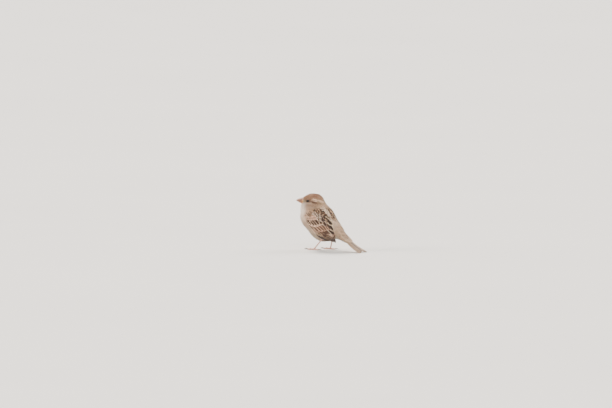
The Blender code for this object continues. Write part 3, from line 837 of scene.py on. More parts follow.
def coatTree():
    tree = bpy.data.node_groups.new("layFeathers", "GeometryNodeTree")
    add = partial(addNode, tree)
    for kind, names in (("Geometry", ["Geometry"]), ("String", ["Zone"]),
                        ("Float", ("Spacing", "Density", "Spread", "Fluff", "Length", "Width", "Sink")),
                        ("Int", ["Seed"]), ("Object", ("TuftA", "TuftB", "TuftC")),
                        ("Material", ["Material"])):
        for name in names:
            tree.interface.new_socket(name, in_out="INPUT", socket_type="NodeSocket" + kind)
    tree.interface.new_socket("Geometry", in_out="OUTPUT", socket_type="NodeSocketGeometry")
    given = add("NodeGroupInput").outputs
    # What the skin and the tufts carry
    carried = {
        name: add("GeometryNodeInputNamedAttribute", {"Name": name}, data_type=kind)
        for kind, names in (("FLOAT_VECTOR", ("lie", "skinNormal", "rootPlace", "pattern", "Vane")),
                            ("FLOAT", ("featherLength", "featherWidth", "lift", "rise", "height", "chance")))
        for name in names}
    # Chances: the kind, its least and greatest, the first input's place, and the seed's offset
    chances = {}
    for name, kind, least, most, place, offset in (
            ("stray", "FLOAT_VECTOR", (-1, -1, -1), (1, 1, 1), 0, 11), ("size", "FLOAT", 0.84, 1.14, 2, 23),
            ("tuft", "INT", 0, 2, 4, 37), ("own", "FLOAT", 0.0, 1.0, 2, 51)):
        seed = add("ShaderNodeMath", (given["Seed"], offset))
        chances[name] = add("FunctionNodeRandomValue", {place: least, place + 1: most, "Seed": seed},
                            data_type=kind)
    roots = add("GeometryNodeDistributePointsOnFaces", {
        "Mesh": given["Geometry"], "Distance Min": given["Spacing"], "Density Max": given["Density"],
        "Density Factor": add("GeometryNodeInputNamedAttribute", {"Name": given["Zone"]}, data_type="FLOAT"),
        "Seed": given["Seed"]}, distribute_method="POISSON")
    stray = add("ShaderNodeVectorMath", {0: chances["stray"], "Scale": given["Spread"]}, operation="SCALE")
    lie = add("ShaderNodeVectorMath", (carried["lie"], stray))
    turn = add("FunctionNodeAxesToRotation", (carried["skinNormal"], lie),
               primary_axis="Z", secondary_axis="Y")
    sizes = []
    for name, share in (("featherLength", "Length"), ("featherWidth", "Width")):
        whole = add("ShaderNodeMath", (carried[name], given[share]), operation="MULTIPLY")
        sizes.append(add("ShaderNodeMath", (whole, chances["size"]), operation="MULTIPLY"))
    long, wide = sizes
    tufts = add("GeometryNodeJoinGeometry")
    for name in ("TuftC", "TuftB", "TuftA"):
        shape = add("GeometryNodeObjectInfo", {"Object": given[name]}).outputs["Geometry"]
        fill(tree, tufts, [add("GeometryNodeGeometryToInstance", [shape])])
    laid = add("GeometryNodeInstanceOnPoints", {
        "Points": roots, "Instance": tufts, "Pick Instance": True, "Instance Index": chances["tuft"],
        "Rotation": turn, "Scale": add("ShaderNodeCombineXYZ", (wide, long, long))})
    mine = add("GeometryNodeStoreNamedAttribute", {
        "Geometry": laid, "Name": "chance", "Value": chances["own"]}, data_type="FLOAT", domain="INSTANCE")
    real = add("GeometryNodeRealizeInstances", [mine])
    # Each point goes to its height over the nearest skin, so the feather bends round the body.
    near = add("GeometryNodeProximity", [given["Geometry"]], target_element="FACES").outputs["Position"]
    outward = add("GeometryNodeSampleNearestSurface", {
        "Mesh": given["Geometry"], "Value": carried["skinNormal"], "Sample Position": near},
                  data_type="FLOAT_VECTOR")
    own = add("ShaderNodeMath", (carried["chance"], 0.5), operation="SUBTRACT")
    fluff = add("ShaderNodeMath", (own, given["Fluff"], 1.0), operation="MULTIPLY_ADD")
    profile = add("ShaderNodeMath", (carried["rise"], 0.85), operation="POWER")
    profile = add("ShaderNodeMath", (profile, fluff), operation="MULTIPLY")
    profile = add("ShaderNodeMath", (profile, given["Sink"]))
    high = add("ShaderNodeMath", (profile, carried["lift"], carried["height"]), operation="MULTIPLY_ADD")
    raised = add("ShaderNodeVectorMath", {0: outward, "Scale": high}, operation="SCALE")
    where = add("ShaderNodeVectorMath", (near, raised))
    bent = add("GeometryNodeSetPosition", {"Geometry": real, "Position": where})
    # A feather's patch on the bake map lies at its root's place on the unrolled skin.
    patch = add("ShaderNodeVectorMath", {0: carried["Vane"], "Scale": coat["patch"]}, operation="SCALE")
    # The last part of the pattern becomes the feather's own chance, for its shade.
    width, run, variety = add("ShaderNodeSeparateXYZ", [carried["pattern"]]).outputs
    thin = add("ShaderNodeMath", (carried["chance"], 0.9, 0.5), operation="MULTIPLY_ADD")
    thin = add("ShaderNodeMath", (width, thin), operation="MULTIPLY")
    shade = add("ShaderNodeMath", (own, variety, 0.5), operation="MULTIPLY_ADD")
    for name, kind, domain, value in (
            ("OFBake", "FLOAT2", "CORNER", add("ShaderNodeVectorMath", (carried["rootPlace"], patch))),
            ("pattern", "FLOAT_VECTOR", "POINT", add("ShaderNodeCombineXYZ", (thin, run, shade)))):
        bent = add("GeometryNodeStoreNamedAttribute", {"Geometry": bent, "Name": name, "Value": value},
                   data_type=kind, domain=domain)
    clad = add("GeometryNodeSetMaterial", {"Geometry": bent, "Material": given["Material"]})
    add("NodeGroupOutput", [clad])
    return tree


# The coat's pieces: the zone each grows in, how far apart its feathers stand in millimetres, the barb bundles
# of a feather and the rings of each, how much the feathers stray and stand off, and their size.
coats = dict(
    coatFace=dict(zone="faceZone", spacing=0.38, blades=7, rings=2, spread=0.35, fluff=0.7, seed=3,
                  slot="head"),
    coatCrown=dict(zone="crownZone", spacing=0.72, blades=7, rings=3, spread=0.22, fluff=0.5, seed=5,
                   slot="head"),
    coatMantle=dict(zone="mantleZone", spacing=1.0, blades=11, rings=3, spread=0.16, fluff=0.35, seed=7,
                    slot="trunk"),
    coatScapulars=dict(zone="streakZone", spacing=2.3, blades=21, rings=5, spread=0.10, fluff=0.2, seed=23,
                       length=1.2, width=1.45, sink=0.2, slot="trunk"),
    coatRump=dict(zone="rumpZone", spacing=1.0, blades=11, rings=3, spread=0.2, fluff=0.45, seed=11,
                  slot="trunk"),
    coatBreast=dict(zone="breastZone", spacing=0.92, blades=11, rings=3, spread=0.16, fluff=0.4, seed=13,
                    slot="neck"),
    coatBelly=dict(zone="bellyZone", spacing=1.1, blades=11, rings=3, spread=0.18, fluff=0.4, seed=17,
                   slot="trunk"),
)


def makeCoat(name, look, skin, tree, material):
    look = dict(length=1.0, width=1.0, sink=0.04) | look
    tufts = [tuftTemplate(f"{name}Tuft{i}", look["blades"], look["rings"], look["seed"] * 10 + i)
             for i in range(3)]
    obj = linked(name, skin.data.copy())
    modifier = obj.modifiers.new("feathers", "NODES")
    modifier.node_group = tree
    spacing = look["spacing"] * mm
    values = {key.capitalize(): value for key, value in look.items()}
    values.update(zip(("TuftA", "TuftB", "TuftC"), tufts), Spacing=spacing, Density=0.9 / spacing ** 2,
                  Material=material)
    for item in tree.interface.items_tree:
        if item.in_out == "INPUT" and item.name in values:
            modifier[item.identifier] = values[item.name]
    mesh = evaluatedMesh(obj)
    for tuft in tufts:
        bpy.data.objects.remove(tuft)
    keep = {"ground", "mark", "pattern", "position", "OFBake", "Vane", "material_index", "sharp_face",
            "sharp_edge"}
    spare = [layer.name for layer in mesh.attributes
             if not (layer.name in keep or layer.is_internal or layer.name.startswith("."))]
    for layer in spare:
        mesh.attributes.remove(mesh.attributes[layer])
    finishPiece(linked(name, mesh), material, look["slot"])
    mesh.calc_loop_triangles()
    say(f"{name}: {len(mesh.loop_triangles)} triangles")


# Wing and tail feathers, one vane each

def newStore():
    return dict(points=[], faces=[], vane=[], bake=[], ground=[], mark=[], pattern=[], count=0, cells=0)


def addVane(store, path, ups, left, right, look, chance, cells=9):
    # A feather along a path: a thin closed vane with a raised shaft. left and right are its half-widths.
    rows, columns = len(path), 9
    size = rows * columns * 2
    course = unit(np.gradient(path, axis=0))
    across = unit(np.cross(course, ups))
    ups = np.cross(across, course)[:, None]
    u, v = np.linspace(-1, 1, columns), stations[:, None]
    ragged = 1 - look["ragged"] * chance.random((rows, columns)) * (np.abs(u) > 0.7)
    half = np.where(u < 0, left[:, None], right[:, None]) * ragged
    slip = -look.get("fray", 0.5) * chance.random(columns) * smoothStep(0.8, 1.0, v)
    shaft = 0.10 * np.exp(-(u / 0.14) ** 2) * (1 - 0.7 * v)
    level = -look["camber"] * u**2 + shaft + look.get("roll", 0) * u
    top = path[:, None] + across[:, None] * (u * half)[..., None]
    top = top + ups * level[..., None] + course[:, None] * slip[..., None]
    bottom = top - ups * (0.16 * (1 - 0.45 * u**2))[:, None]
    store["points"].append(np.concatenate([top.reshape(-1, 3), bottom.reshape(-1, 3)]))
    store["faces"].append(plateFaces(rows, columns) + store["count"])
    store["count"] += size
    grid = np.stack(np.broadcast_arrays(0.5 + 0.5 * u, v), axis=-1).reshape(-1, 2)
    cell = np.array((store["cells"] % cells, store["cells"] // cells))
    store["cells"] += 1
    # Top and underside share a patch of the bake map, as they share their colours.
    store["vane"].append(np.tile(grid, (2, 1)))
    store["bake"].append(np.tile((cell + 0.06 + 0.88 * grid) / cells, (2, 1)))
    for key in ("ground", "mark"):
        store[key].append(np.tile(linear(look[key]), (size, 1)))
    store["pattern"].append(np.tile((look["width"], look["run"], chance.random()), (size, 1)))


def storeObject(name, store, turn=np.array):
    mesh = meshOf(name, placed(turn(np.concatenate(store["points"]))), np.concatenate(store["faces"]))
    for kind, keys in (("FLOAT_COLOR", ("ground", "mark")), ("FLOAT_VECTOR", ("pattern",))):
        setAttributes(mesh, kind, {key: np.concatenate(store[key]) for key in keys})
    for layer, key in (("Vane", "vane"), ("OFBake", "bake")):
        setMap(mesh, layer, np.concatenate(store[key]))
    cleaned(mesh)
    mesh.shade_smooth()
    return linked(name, mesh)


# Where the points of every vane lie along it, closer towards the tip
stations = np.sin(np.linspace(0, 1, 15) * np.pi / 2) ** 0.92


def tipped(full, roundFrom, foot=0.12):
    # Half-width along a vane: it widens from the foot and rounds off at the tip.
    swell = 0.45 + 0.55 * smoothStep(0, foot + 0.2, stations)
    end = np.clip((stations - roundFrom) / (1 - roundFrom), 0, 1)
    return np.maximum(full * swell * np.sqrt(np.maximum(1 - end**2.2, 0)), 0.12)


# Rows of wing feathers: root and tip as (along, across) for the first and last of the row, half-widths in
# millimetres, where the tip starts to round, height over the wing's base, and colours.
wingRows = dict(
    primaries=dict(
        count=9, roots=((0.40, 1.10), (0.42, 0.70)), tips=((0.82, 1.24), (1.0, 0.50)), outer=1.2, inner=3.6,
        round=0.60, height=(0.25, 0.50), camber=0.25, ragged=0.02,
        ground="#7f6652", mark="#2e211a", width=0.90, run=1.2),
    secondaries=dict(
        count=7, roots=((0.34, 0.92), (0.32, 0.40)), tips=((0.80, 0.80), (0.87, 0.18)), outer=2.1, inner=4.2,
        round=0.84, height=(0.55, 0.85), camber=0.3, ragged=0.03,
        ground="#b3937b", mark="#4c362a", width=0.80, run=1.2),
    tertials=dict(
        count=3, roots=((0.42, 0.50), (0.36, 0.24)), tips=((0.83, 0.10), (0.64, 0.07)), outer=3.2, inner=3.3,
        round=0.70, height=(1.15, 1.45), camber=0.5, ragged=0.05,
        ground="#e0c8a8", mark="#2d1e17", width=0.76, run=0.94),
    primaryCoverts=dict(
        count=5, roots=((0.22, 1.0), (0.26, 0.86)), tips=((0.50, 1.02), (0.58, 0.90)), outer=1.2, inner=1.8,
        round=0.75, height=(0.8, 0.95), camber=0.2, ragged=0.06,
        ground="#a88b6e", mark="#5c473a", width=0.62, run=0.95),
    greaterCoverts=dict(
        count=7, roots=((0.20, 0.95), (0.36, 0.34)), tips=((0.47, 0.93), (0.67, 0.24)), outer=2.3, inner=3.0,
        round=0.66, height=(1.0, 1.3), camber=0.35, ragged=0.10,
        ground="#bb9276", mark="#4d382c", width=0.52, run=1.0),
    alula=dict(
        count=3, roots=((0.14, 1.02), (0.15, 0.95)), tips=((0.30, 1.04), (0.38, 1.0)), outer=1.0, inner=1.6,
        round=0.7, height=(1.0, 1.1), camber=0.2, ragged=0.06,
        ground="#b3967a", mark="#4f3b2f", width=0.55, run=0.9),
    medianCoverts=dict(
        count=7, roots=((0.12, 0.97), (0.33, 0.36)), tips=((0.28, 0.99), (0.51, 0.37)), outer=2.3, inner=2.7,
        bow=0.03, round=0.60, height=(1.3, 1.6), camber=0.45, ragged=0.16,
        ground="#dab798", mark="#33221a", width=0.70, run=0.86),
    lesserCovertsLow=dict(
        count=9, roots=((0.09, 0.86), (0.25, 0.34)), tips=((0.19, 0.89), (0.36, 0.36)), outer=1.9, inner=2.0,
        bow=0.03, round=0.5, height=(1.45, 1.75), camber=0.4, ragged=0.25,
        ground="#c8a088", mark="#7a5a42", width=0.45, run=0.75),
    lesserCovertsMiddle=dict(
        count=9, roots=((0.04, 0.82), (0.19, 0.33)), tips=((0.15, 0.86), (0.31, 0.35)), outer=1.8, inner=1.9,
        bow=0.02, round=0.5, height=(1.55, 1.85), camber=0.4, ragged=0.25,
        ground="#d0a68c", mark="#88664d", width=0.4, run=0.75),
)


def makeWing(name, turn, lower, material, node, seed):
    store = newStore()
    chance = np.random.default_rng(seed)
    for row in wingRows.values():
        roots, tips = np.array(row["roots"]), np.array(row["tips"])
        for i in range(row["count"]):
            share = i / (row["count"] - 1)
            root = mixed(*roots, share)
            tip = mixed(*tips, share) + chance.uniform(-0.012, 0.012, 2)
            tip = tip + (row.get("bow", 0) * math.sin(math.pi * share), 0)
            line = root + (tip - root) * stations[:, None]
            # The far wing's feathers lie lower, the more so the nearer they are to its upper edge.
            line[:, 1] += lower * (1 - line[:, 1]).clip(0, 1)
            low, high = row["height"]
            along, across = line[:, 0], line[:, 1]
            base, outward, depth = wingFrame(along, np.clip(across, -0.05, wing["edge"] - 0.9 * lower))
            level = low + (high - low) * share
            hug = 1 - 0.3 * smoothStep(0.80, 1.05, across) * smoothStep(0.95, 0.75, along)
            room = (np.minimum(level, depth - 0.15) + 0.25 * smoothStep(0.3, 1.0, stations)) * hug
            room = room - 1.2 * (1 - smoothStep(0, 0.25, stations))
            look = row | dict(roll=0.13, width=row["width"] * chance.uniform(0.8, 1.15),
                              run=row["run"] * chance.uniform(0.94, 1.04))
            inner, outer = (tipped(row[side], row["round"]) for side in ("inner", "outer"))
            addVane(store, base + outward * room[:, None], outward, inner, outer, look, chance)
    finishPiece(storeObject(name, store, turn), material, node, node)
    say(f"{name}: {store['cells']} feathers")


# The tail's course from its root to its tip, its length, and its feathers: how far each pair lies outside and
# under the next, how much shorter the middle ones are, half-width and colours. The coverts over and under the
# root come in rows: side, count, where they start and how long they are as shares of the tail, how far they
# spread, their lift at the tip, their row's own lift, and their colours.
tail = dict(
    course=((0.0, 33.0, 30.5), (0.0, 47.0, 19.5), (0.0, 61.0, 9.0), (0.0, 77.5, 0.35)),
    length=53.0, pairs=6, fan=1.75, step=0.22, notch=2.6, halfWidth=4.5,
    look=dict(camber=0.2, ragged=0.03, fray=0.7, width=0.7, run=1.2, ground="#b6997c", mark="#6a5342"),
    covertLook=dict(camber=0.5, ragged=0.2, fray=1.2, width=0.45, run=0.85),
    coverts=((1, 7, 0.20, 0.36, 1.0, 1.0, 0.0, "#bfa284", "#a08469"),
             (1, 6, 0.10, 0.32, 1.0, 1.0, 0.22, "#bfa182", "#a08468"),
             (-1, 8, 0.24, 0.40, 0.52, 0.7, 0.0, "#ddd0bd", "#b39d84"),
             (-1, 8, 0.14, 0.40, 0.52, 0.7, 0.22, "#e0d4c2", "#bda890"),
             (-1, 6, 0.04, 0.36, 0.52, 0.7, 0.44, "#e0d4c2", "#bda890")))


def tailPath(along, side, lift, lowest):
    # A line on the tail and the way up from it, kept over the floor.
    middle = smoothRow(tail["course"], along)
    ahead = smoothRow(tail["course"], along + 0.01) - smoothRow(tail["course"], along - 0.01)
    across = np.array((1.0, 0.0, 0.0))
    rise = unit(np.cross(across, ahead))
    roof = -1.6 * (1 - along) * (side / 9.0) ** 2
    path = middle + across * side[:, None] + rise * (lift + roof)[:, None]
    path[:, 2] = np.maximum(path[:, 2], lowest)
    return path, rise


def makeTail(material):
    store = newStore()
    chance = np.random.default_rng(41)
    # The outer feathers' roots are narrow and lie deeper, under the coverts.
    emerged = smoothStep(0.05, 0.45, stations)
    half = tipped(tail["halfWidth"], 0.88, foot=0.3)
    outerHalf = half * 0.55 * (0.3 + 0.7 * emerged)
    for pair in reversed(range(tail["pairs"])):
        for sign in (-1, 1):
            reach = 1 - tail["notch"] / tail["length"] * (1 - pair / (tail["pairs"] - 1)) ** 1.3
            side = sign * (0.6 + pair * tail["fan"] * (0.35 + 0.65 * stations))
            lift = (0.81 if sign > 0 else 0.75) + 0.25 * (1 - stations) - tail["step"] * pair * (2 - emerged)
            path, rise = tailPath(0.16 + (reach - 0.16) * stations, side, lift, 0.25)
            left, right = (half, outerHalf) if sign > 0 else (outerHalf, half)
            addVane(store, path, rise, left, right, tail["look"], chance, cells=7)
    half = tipped(2.9, 0.6)
    for above, count, start, length, spread, tipLift, rowLift, ground, mark in tail["coverts"]:
        look = dict(ground=ground, mark=mark) | tail["covertLook"]
        for place in np.linspace(-1, 1, count):
            along = start + length * (1 - 0.2 * place**2) * stations
            lift = above * (1.9 + (tipLift - 1.9) * stations + rowLift)
            path, rise = tailPath(along, place * (4.6 + 2.2 * stations) * spread, lift, 0.3)
            addVane(store, path, rise * above, half, half, look, chance, cells=7)
    finishPiece(storeObject("tailFeathers", store), material, "tail", "tail")
    say(f"tail: {store['cells']} feathers")


# Bill

# The nostril's dark tone is painted shade in its hole.
bill = dict(root=11.2, length=13.7, fullness=2.2, middle=71.0, halfWidth=4.3, top=5.0, bottom=4.5,
            overhang=0.9, gap=0.08, upperBase="#b08f81", upperTip="#957669", lowerBase="#a67553",
            lowerTip="#876656", gape="#d89c5a", brown="#805339", dark="#4a3329",
            nostril=dict(ahead=16.3, up=73.1, long=0.7, high=0.45, deep=0.35, tone="#3a2923"))


def makeBillHalf(name, upper, material, node):
    rows, sides = 40, 28
    sign = 1 if upper else -1
    length = bill["length"] - (0 if upper else bill["overhang"])
    share = np.linspace(0, 1, rows) ** 0.9
    taper = (1 - share ** bill["fullness"]) * (1 - 0.12 * share)
    # The tip is blunt and rounded.
    blunt = np.sqrt(np.clip(1 - share ** 16, 0.06, 1))
    width = bill["halfWidth"] * taper + 0.20 * blunt
    rise = (bill["top"] if upper else bill["bottom"]) * taper + 0.24 * blunt
    # The line of the lips sinks towards the gape.
    lip = bill["middle"] - 0.5 * (1 - share) - 1.1 * (1 - share) ** 4 + sign * bill["gap"]
    angles = np.pi * np.arange(sides + 1) / sides
    keel = 1 + (0.05 if upper else 0.0) * np.exp(-((angles - np.pi / 2) / 0.25) ** 2)
    flat = np.abs(np.cos(angles)) ** 0.85 * np.sign(np.cos(angles))
    points = headPoint(bill["root"] + (length * share)[:, None], width[:, None] * flat,
                       lip[:, None] + sign * rise[:, None] * (np.sin(angles) * keel)).reshape(-1, 3)
    count = sides + 1
    faces = [range(count), range(rows * count - 1, (rows - 1) * count - 1, -1), *ringFaces(rows, count)]
    mesh = cleaned(meshOf(name, placed(points), faces))
    # The nostril is a small oval pit near the base of the upper half, painted dark as the shade in its hole.
    hole = bill["nostril"]
    ahead, _, up = headPlace(points)
    pit = np.exp(-((ahead - hole["ahead"]) / hole["long"]) ** 2 - ((up - hole["up"]) / hole["high"]) ** 2)
    pit = pit if upper else 0 * pit
    normals = pointsOf(mesh, "normal")
    setPoints(mesh, pointsOf(mesh) - normals * (hole["deep"] * pit * mm)[:, None])
    around = np.tile(np.sin(angles), rows)
    setAttributes(mesh, "FLOAT", dict(along=np.repeat(share, count), around=around, pit=pit))
    mesh.shade_smooth()
    mesh.set_sharp_from_angle(angle=math.radians(55))
    finishPiece(linked(name, mesh), material, node, node)


def hornMaterial(name, base, tip, reach):
    # Bill horn: smooth, half-gloss keratin grown in fine lengthwise streaks, fleshy and yellow at the gape.
    material, add = newMaterial(name)
    along, around, pit = (add("ShaderNodeAttribute", attribute_name=field).outputs["Fac"]
                          for field in ("along", "around", "pit"))
    place = add("ShaderNodeTexCoord").outputs["Object"]
    noise, streaks = (add("ShaderNodeTexNoise", {"Vector": place, "Scale": scale, "Detail": detail})
                      for scale, detail in ((1500.0, 4.0), (5000.0, 3.0)))
    wavy = add("ShaderNodeMath", (noise, 0.16, along), operation="MULTIPLY_ADD")
    ramps = {}
    for part, value, low, high, first, last in (
            ("tip", wavy, 0.5, 1.05, 0, 1), ("edge", around, 0.25, 0.85, 1, 0),
            ("start", wavy, 0.34, 0.46, 0, 1), ("end", wavy, 1.0, 0.70, 0, 0.9),
            ("root", wavy, 0.48, 0.34, 0, 1), ("flange", around, reach, reach * 0.4, 0, 1),
            ("lips", around, 0.03, 0.14, 0.8, 0), ("roughness", noise, 0.3, 0.7, 0.34, 0.5)):
        ramps[part] = add("ShaderNodeMapRange", {
            "Value": value, "From Min": low, "From Max": high, "To Min": first, "To Max": last},
                          interpolation_type="SMOOTHSTEP")
    # The cutting edge is brown in the middle of the bill, and the gape's flange is yellow.
    brown = add("ShaderNodeMath", (ramps["edge"], ramps["start"]), operation="MULTIPLY")
    brown = add("ShaderNodeMath", (brown, ramps["end"]), operation="MULTIPLY")
    gape = add("ShaderNodeMath", (ramps["root"], ramps["flange"]), operation="MULTIPLY")
    colour = linear(base)
    # The nostril's pit takes painted shade, for the dark inside its hole.
    for share, tone in ((ramps["tip"], tip), (brown, bill["brown"]), (gape, bill["gape"]),
                        (ramps["lips"], bill["dark"]), (pit, bill["nostril"]["tone"])):
        colour = add("ShaderNodeMix", {0: share, 6: colour, 7: linear(tone)}, data_type="RGBA")
    height = add("ShaderNodeMath", (streaks, 0.5, noise), operation="MULTIPLY_ADD")
    return shaded(material, {
        "Base Color": colour, "Roughness": ramps["roughness"], "IOR": 1.54,
        "Normal": add("ShaderNodeBump", {"Strength": 0.35, "Distance": 0.1 * mm, "Height": height})})


# Eyes and lids

def makeEye(name, sign, material, node):
    rings, sides = 28, 48
    theta = np.linspace(0, np.pi, rings)[1:-1]
    phi = 2 * np.pi * np.arange(sides) / sides
    grid = eyePoints(sign, theta[:, None], phi, stance["eyeRadius"]).reshape(-1, 3)
    front = eyeAxes(sign)[0] * stance["eyeRadius"]
    points = np.concatenate([grid, [eyeMiddle(sign) + front, eyeMiddle(sign) - front]])
    count = len(grid)
    faces = [(count, k, (k + 1) % sides) for k in range(sides)] + ringFaces(len(theta), sides)
    faces += [(count + 1, count - sides + (k + 1) % sides, count - sides + k) for k in range(sides)]
    mesh = cleaned(meshOf(name, placed(points), faces))
    setAttributes(mesh, "FLOAT", dict(gaze=np.concatenate([np.repeat(theta, sides), [0, np.pi]])))
    mesh.shade_smooth()
    finishPiece(linked(name, mesh), material, node, node)


def eyeMaterial():
    # A wet cornea over a very dark brown iris and a black pupil.
    material, add = newMaterial("wetEye")
    gaze = add("ShaderNodeAttribute", attribute_name="gaze").outputs["Fac"]
    place = add("ShaderNodeTexCoord").outputs["Object"]
    noise = add("ShaderNodeTexNoise", {"Vector": place, "Scale": 2500.0, "Detail": 3.0})
    wavy = add("ShaderNodeMath", (noise, 0.05, gaze), operation="MULTIPLY_ADD")
    pupil, rim = (add("ShaderNodeMapRange", {"Value": value, "From Min": low, "From Max": high},
                      interpolation_type="SMOOTHSTEP")
                  for value, low, high in ((wavy, 0.40, 0.48), (gaze, 0.68, 0.85)))
    iris = add("ShaderNodeMix", {0: noise, 6: linear("#1c100a"), 7: linear("#38241a")}, data_type="RGBA")
    middle = add("ShaderNodeMix", {0: pupil, 6: linear("#040303"), 7: iris}, data_type="RGBA")
    colour = add("ShaderNodeMix", {0: rim, 6: middle, 7: linear("#0d0807")}, data_type="RGBA")
    return shaded(material, {
        "Base Color": colour, "Roughness": 0.03, "IOR": 1.38, "Specular IOR Level": 0.4})


def makeLids(name, sign, material):
    sides = 56
    phi = 2 * np.pi * np.arange(sides) / sides
    turn, thick = np.array(lids["section"]).T[..., None]
    beads = 0.02 * np.cos(phi * lids["beads"]) * ((turn > 0.03) & (turn < 0.2))
    grid = eyePoints(sign, lidOpening(phi) + turn, phi, stance["eyeRadius"] + thick + beads)
    mesh = cleaned(meshOf(name, placed(grid.reshape(-1, 3)), ringFaces(len(turn), sides, closed=True)))
    mesh.shade_smooth()
    finishPiece(linked(name, mesh), material, "head")


def bareSkinMaterial(name, look):
    # Bare skin: soft, finely pebbled, with blood and pigment showing unevenly. Where the piece has scutes,
    # they lie as overlapping plates with a darker seam between, and pebbles keep to the sides and the sole.
    material, add = newMaterial(name)
    place = add("ShaderNodeTexCoord").outputs["Object"]
    cells = add("ShaderNodeTexVoronoi", {"Vector": place, "Scale": look["pebbles"]},
                feature="DISTANCE_TO_EDGE")
    noise = add("ShaderNodeTexNoise", {"Vector": place, "Scale": look["pebbles"] * 0.4, "Detail": 3.0})
    rung, plated = (add("ShaderNodeAttribute", attribute_name=field).outputs["Fac"]
                    for field in ("rung", "plated"))
    turn = add("ShaderNodeMath", [rung], operation="FRACT")
    start, end, crack = (
        add("ShaderNodeMapRange", {"Value": value, "From Min": low, "From Max": high, "To Min": first,
                                   "To Max": 1 - first})
        for value, low, high, first in ((turn, 0.0, 0.16, 1.0), (turn, 0.90, 1.0, 0.0),
                                        (cells.outputs["Distance"], 0.0, 0.14, 0.0)))
    seam = add("ShaderNodeMath", (start, end), operation="MAXIMUM")
    seam = add("ShaderNodeMath", (seam, plated), operation="MULTIPLY")
    smooth = add("ShaderNodeMath", (crack, plated), operation="MAXIMUM")
    blood = add("ShaderNodeMath", (smooth, noise), operation="MULTIPLY")
    share = add("ShaderNodeMapRange", {"Value": blood, "From Min": 0.1, "From Max": 0.62})
    colour = add("ShaderNodeMix", {0: share, 6: linear(look["dark"]), 7: linear(look["pale"])},
                 data_type="RGBA")
    faint = add("ShaderNodeMath", (seam, 0.6), operation="MULTIPLY")
    colour = add("ShaderNodeMix", {0: faint, 6: colour, 7: linear(look["seam"])}, data_type="RGBA")
    height = add("ShaderNodeMath", (smooth, seam), operation="SUBTRACT")
    return shaded(material, {
        "Base Color": colour, "Roughness": look["roughness"],
        "Normal": add("ShaderNodeBump", {"Strength": 0.45, "Distance": 0.12 * mm, "Height": height})})


# Legs and claws

# The legs in millimetres: where the feet stand, how far back and up the heels are, half the width of shank
# and toes, their scutes' pitch, edge and count, and each toe's heading in degrees, its length and its claw's.
leg = dict(side=10.5, footY=dict(left=-2.0, right=12.0), heelBack=dict(left=13.5, right=4.0), heelUp=16.5,
           footUp=2.4, shank=1.0, toe=0.98, shankPitch=2.1, toePitch=1.05, scuteEdge=0.09,
           shankSteps=9, toeSteps=11,
           skin=dict(dark="#a07464", pale="#cda292", seam="#7d5549", pebbles=2200.0, roughness=0.5),
           toes=dict(inner=(-24.0, 9.0, 4.6), middle=(0.0, 13.0, 5.2), outer=(25.0, 9.5, 4.4),
                     hind=(176.0, 7.5, 6.4)))


def toeWay(side, heading):
    angle = math.radians(heading) * (1 if side == "left" else -1)
    return np.array((math.sin(angle), -math.cos(angle), 0.0))


def scutesOf(points, normals, bones):
    # Counts the plates along the nearest bone, and says how much a point faces the side that bears them.
    best, rung, plated = np.full(len(points), np.inf), np.zeros(len(points)), np.zeros(len(points))
    for start, end, pitch, front in bones:
        share, away = nearestOn(points, start, end)
        near = away < best
        best[near] = away[near]
        rung[near] = share[near] * np.linalg.norm(end - start) / pitch
        plated[near] = smoothStep(0.0, 0.45, normals[near] @ front)
    return rung, plated


def footPlace(side):
    return np.array((leg["side"] * (1 if side == "left" else -1), leg["footY"][side], 0.0))


def makeLeg(side, material):
    foot = footPlace(side)
    heel = foot + (0, leg["heelBack"][side], leg["heelUp"])
    sole = foot + upWay * (leg["footUp"] - 0.6)
    share = np.linspace(0, 1, 64)
    # The front of the shank has overlapping scutes, and the back is a narrow keel.
    radii = leg["shank"] * (1.35 - 0.42 * smoothStep(0, 0.3, share) + 0.30 * smoothStep(0.82, 1, share))

    def shankShape(angle, place):
        front = np.clip(np.sin(angle), 0, 1)
        step = 0.10 * (1 - place * leg["shankSteps"] % 1) * front
        return 0.86 + 0.10 * np.abs(np.sin(angle)) + step

    def toeShape(angle, place):
        return 1 + 0.07 * (1 - place * leg["toeSteps"] % 1) * np.clip(np.sin(angle), 0, 1)

    meshes = [tubeMesh(heel + (sole - heel) * share[:, None], radii, 20, shankShape)]
    shankWay = unit(sole - heel)
    front = unit(shankWay * shankWay[1] - (0, 1.0, 0))
    bones = [(heel, sole, leg["shankPitch"], front)]
    for heading, length, _ in leg["toes"].values():
        way = toeWay(side, heading)
        share = np.linspace(0, 1, 44)
        level = mixed(leg["footUp"] - 0.9, 0.82, smoothStep(0, 0.22, share))
        path = foot + way * (length * share)[:, None] + upWay * level[:, None]
        # Pads swell under each joint of the toe, and scutes ring its top.
        pads = 0.10 * np.cos(share * np.pi * 6) * smoothStep(0.1, 0.3, share)
        radii = leg["toe"] * (1.12 - 0.26 * share) + pads
        radii = radii * (1 - 0.24 * smoothStep(0.80, 0.97, share))
        radii[-2:] *= (0.85, 0.6)
        bones.append((foot + upWay * 0.8, foot + way * length + upWay * 0.8, leg["toePitch"], upWay))
        meshes.append(tubeMesh(path, radii, 16, toeShape))
    whole = remeshed(joinedMesh(meshes), 0.2)
    points, normals = pointsOf(whole), pointsOf(whole, "normal")
    rung, plated = scutesOf(points, normals, bones)
    points = points + normals * (leg["scuteEdge"] * plated * (rung % 1))[:, None]
    points[:, 2] = np.maximum(points[:, 2], 0.0)
    setPoints(whole, placed(points))
    setAttributes(whole, "FLOAT", dict(rung=rung, plated=plated))
    whole.shade_smooth()
    obj = linked(f"leg{side.capitalize()}", whole)
    finishPiece(obj, material, f"leg_{side}", f"leg_{side}")


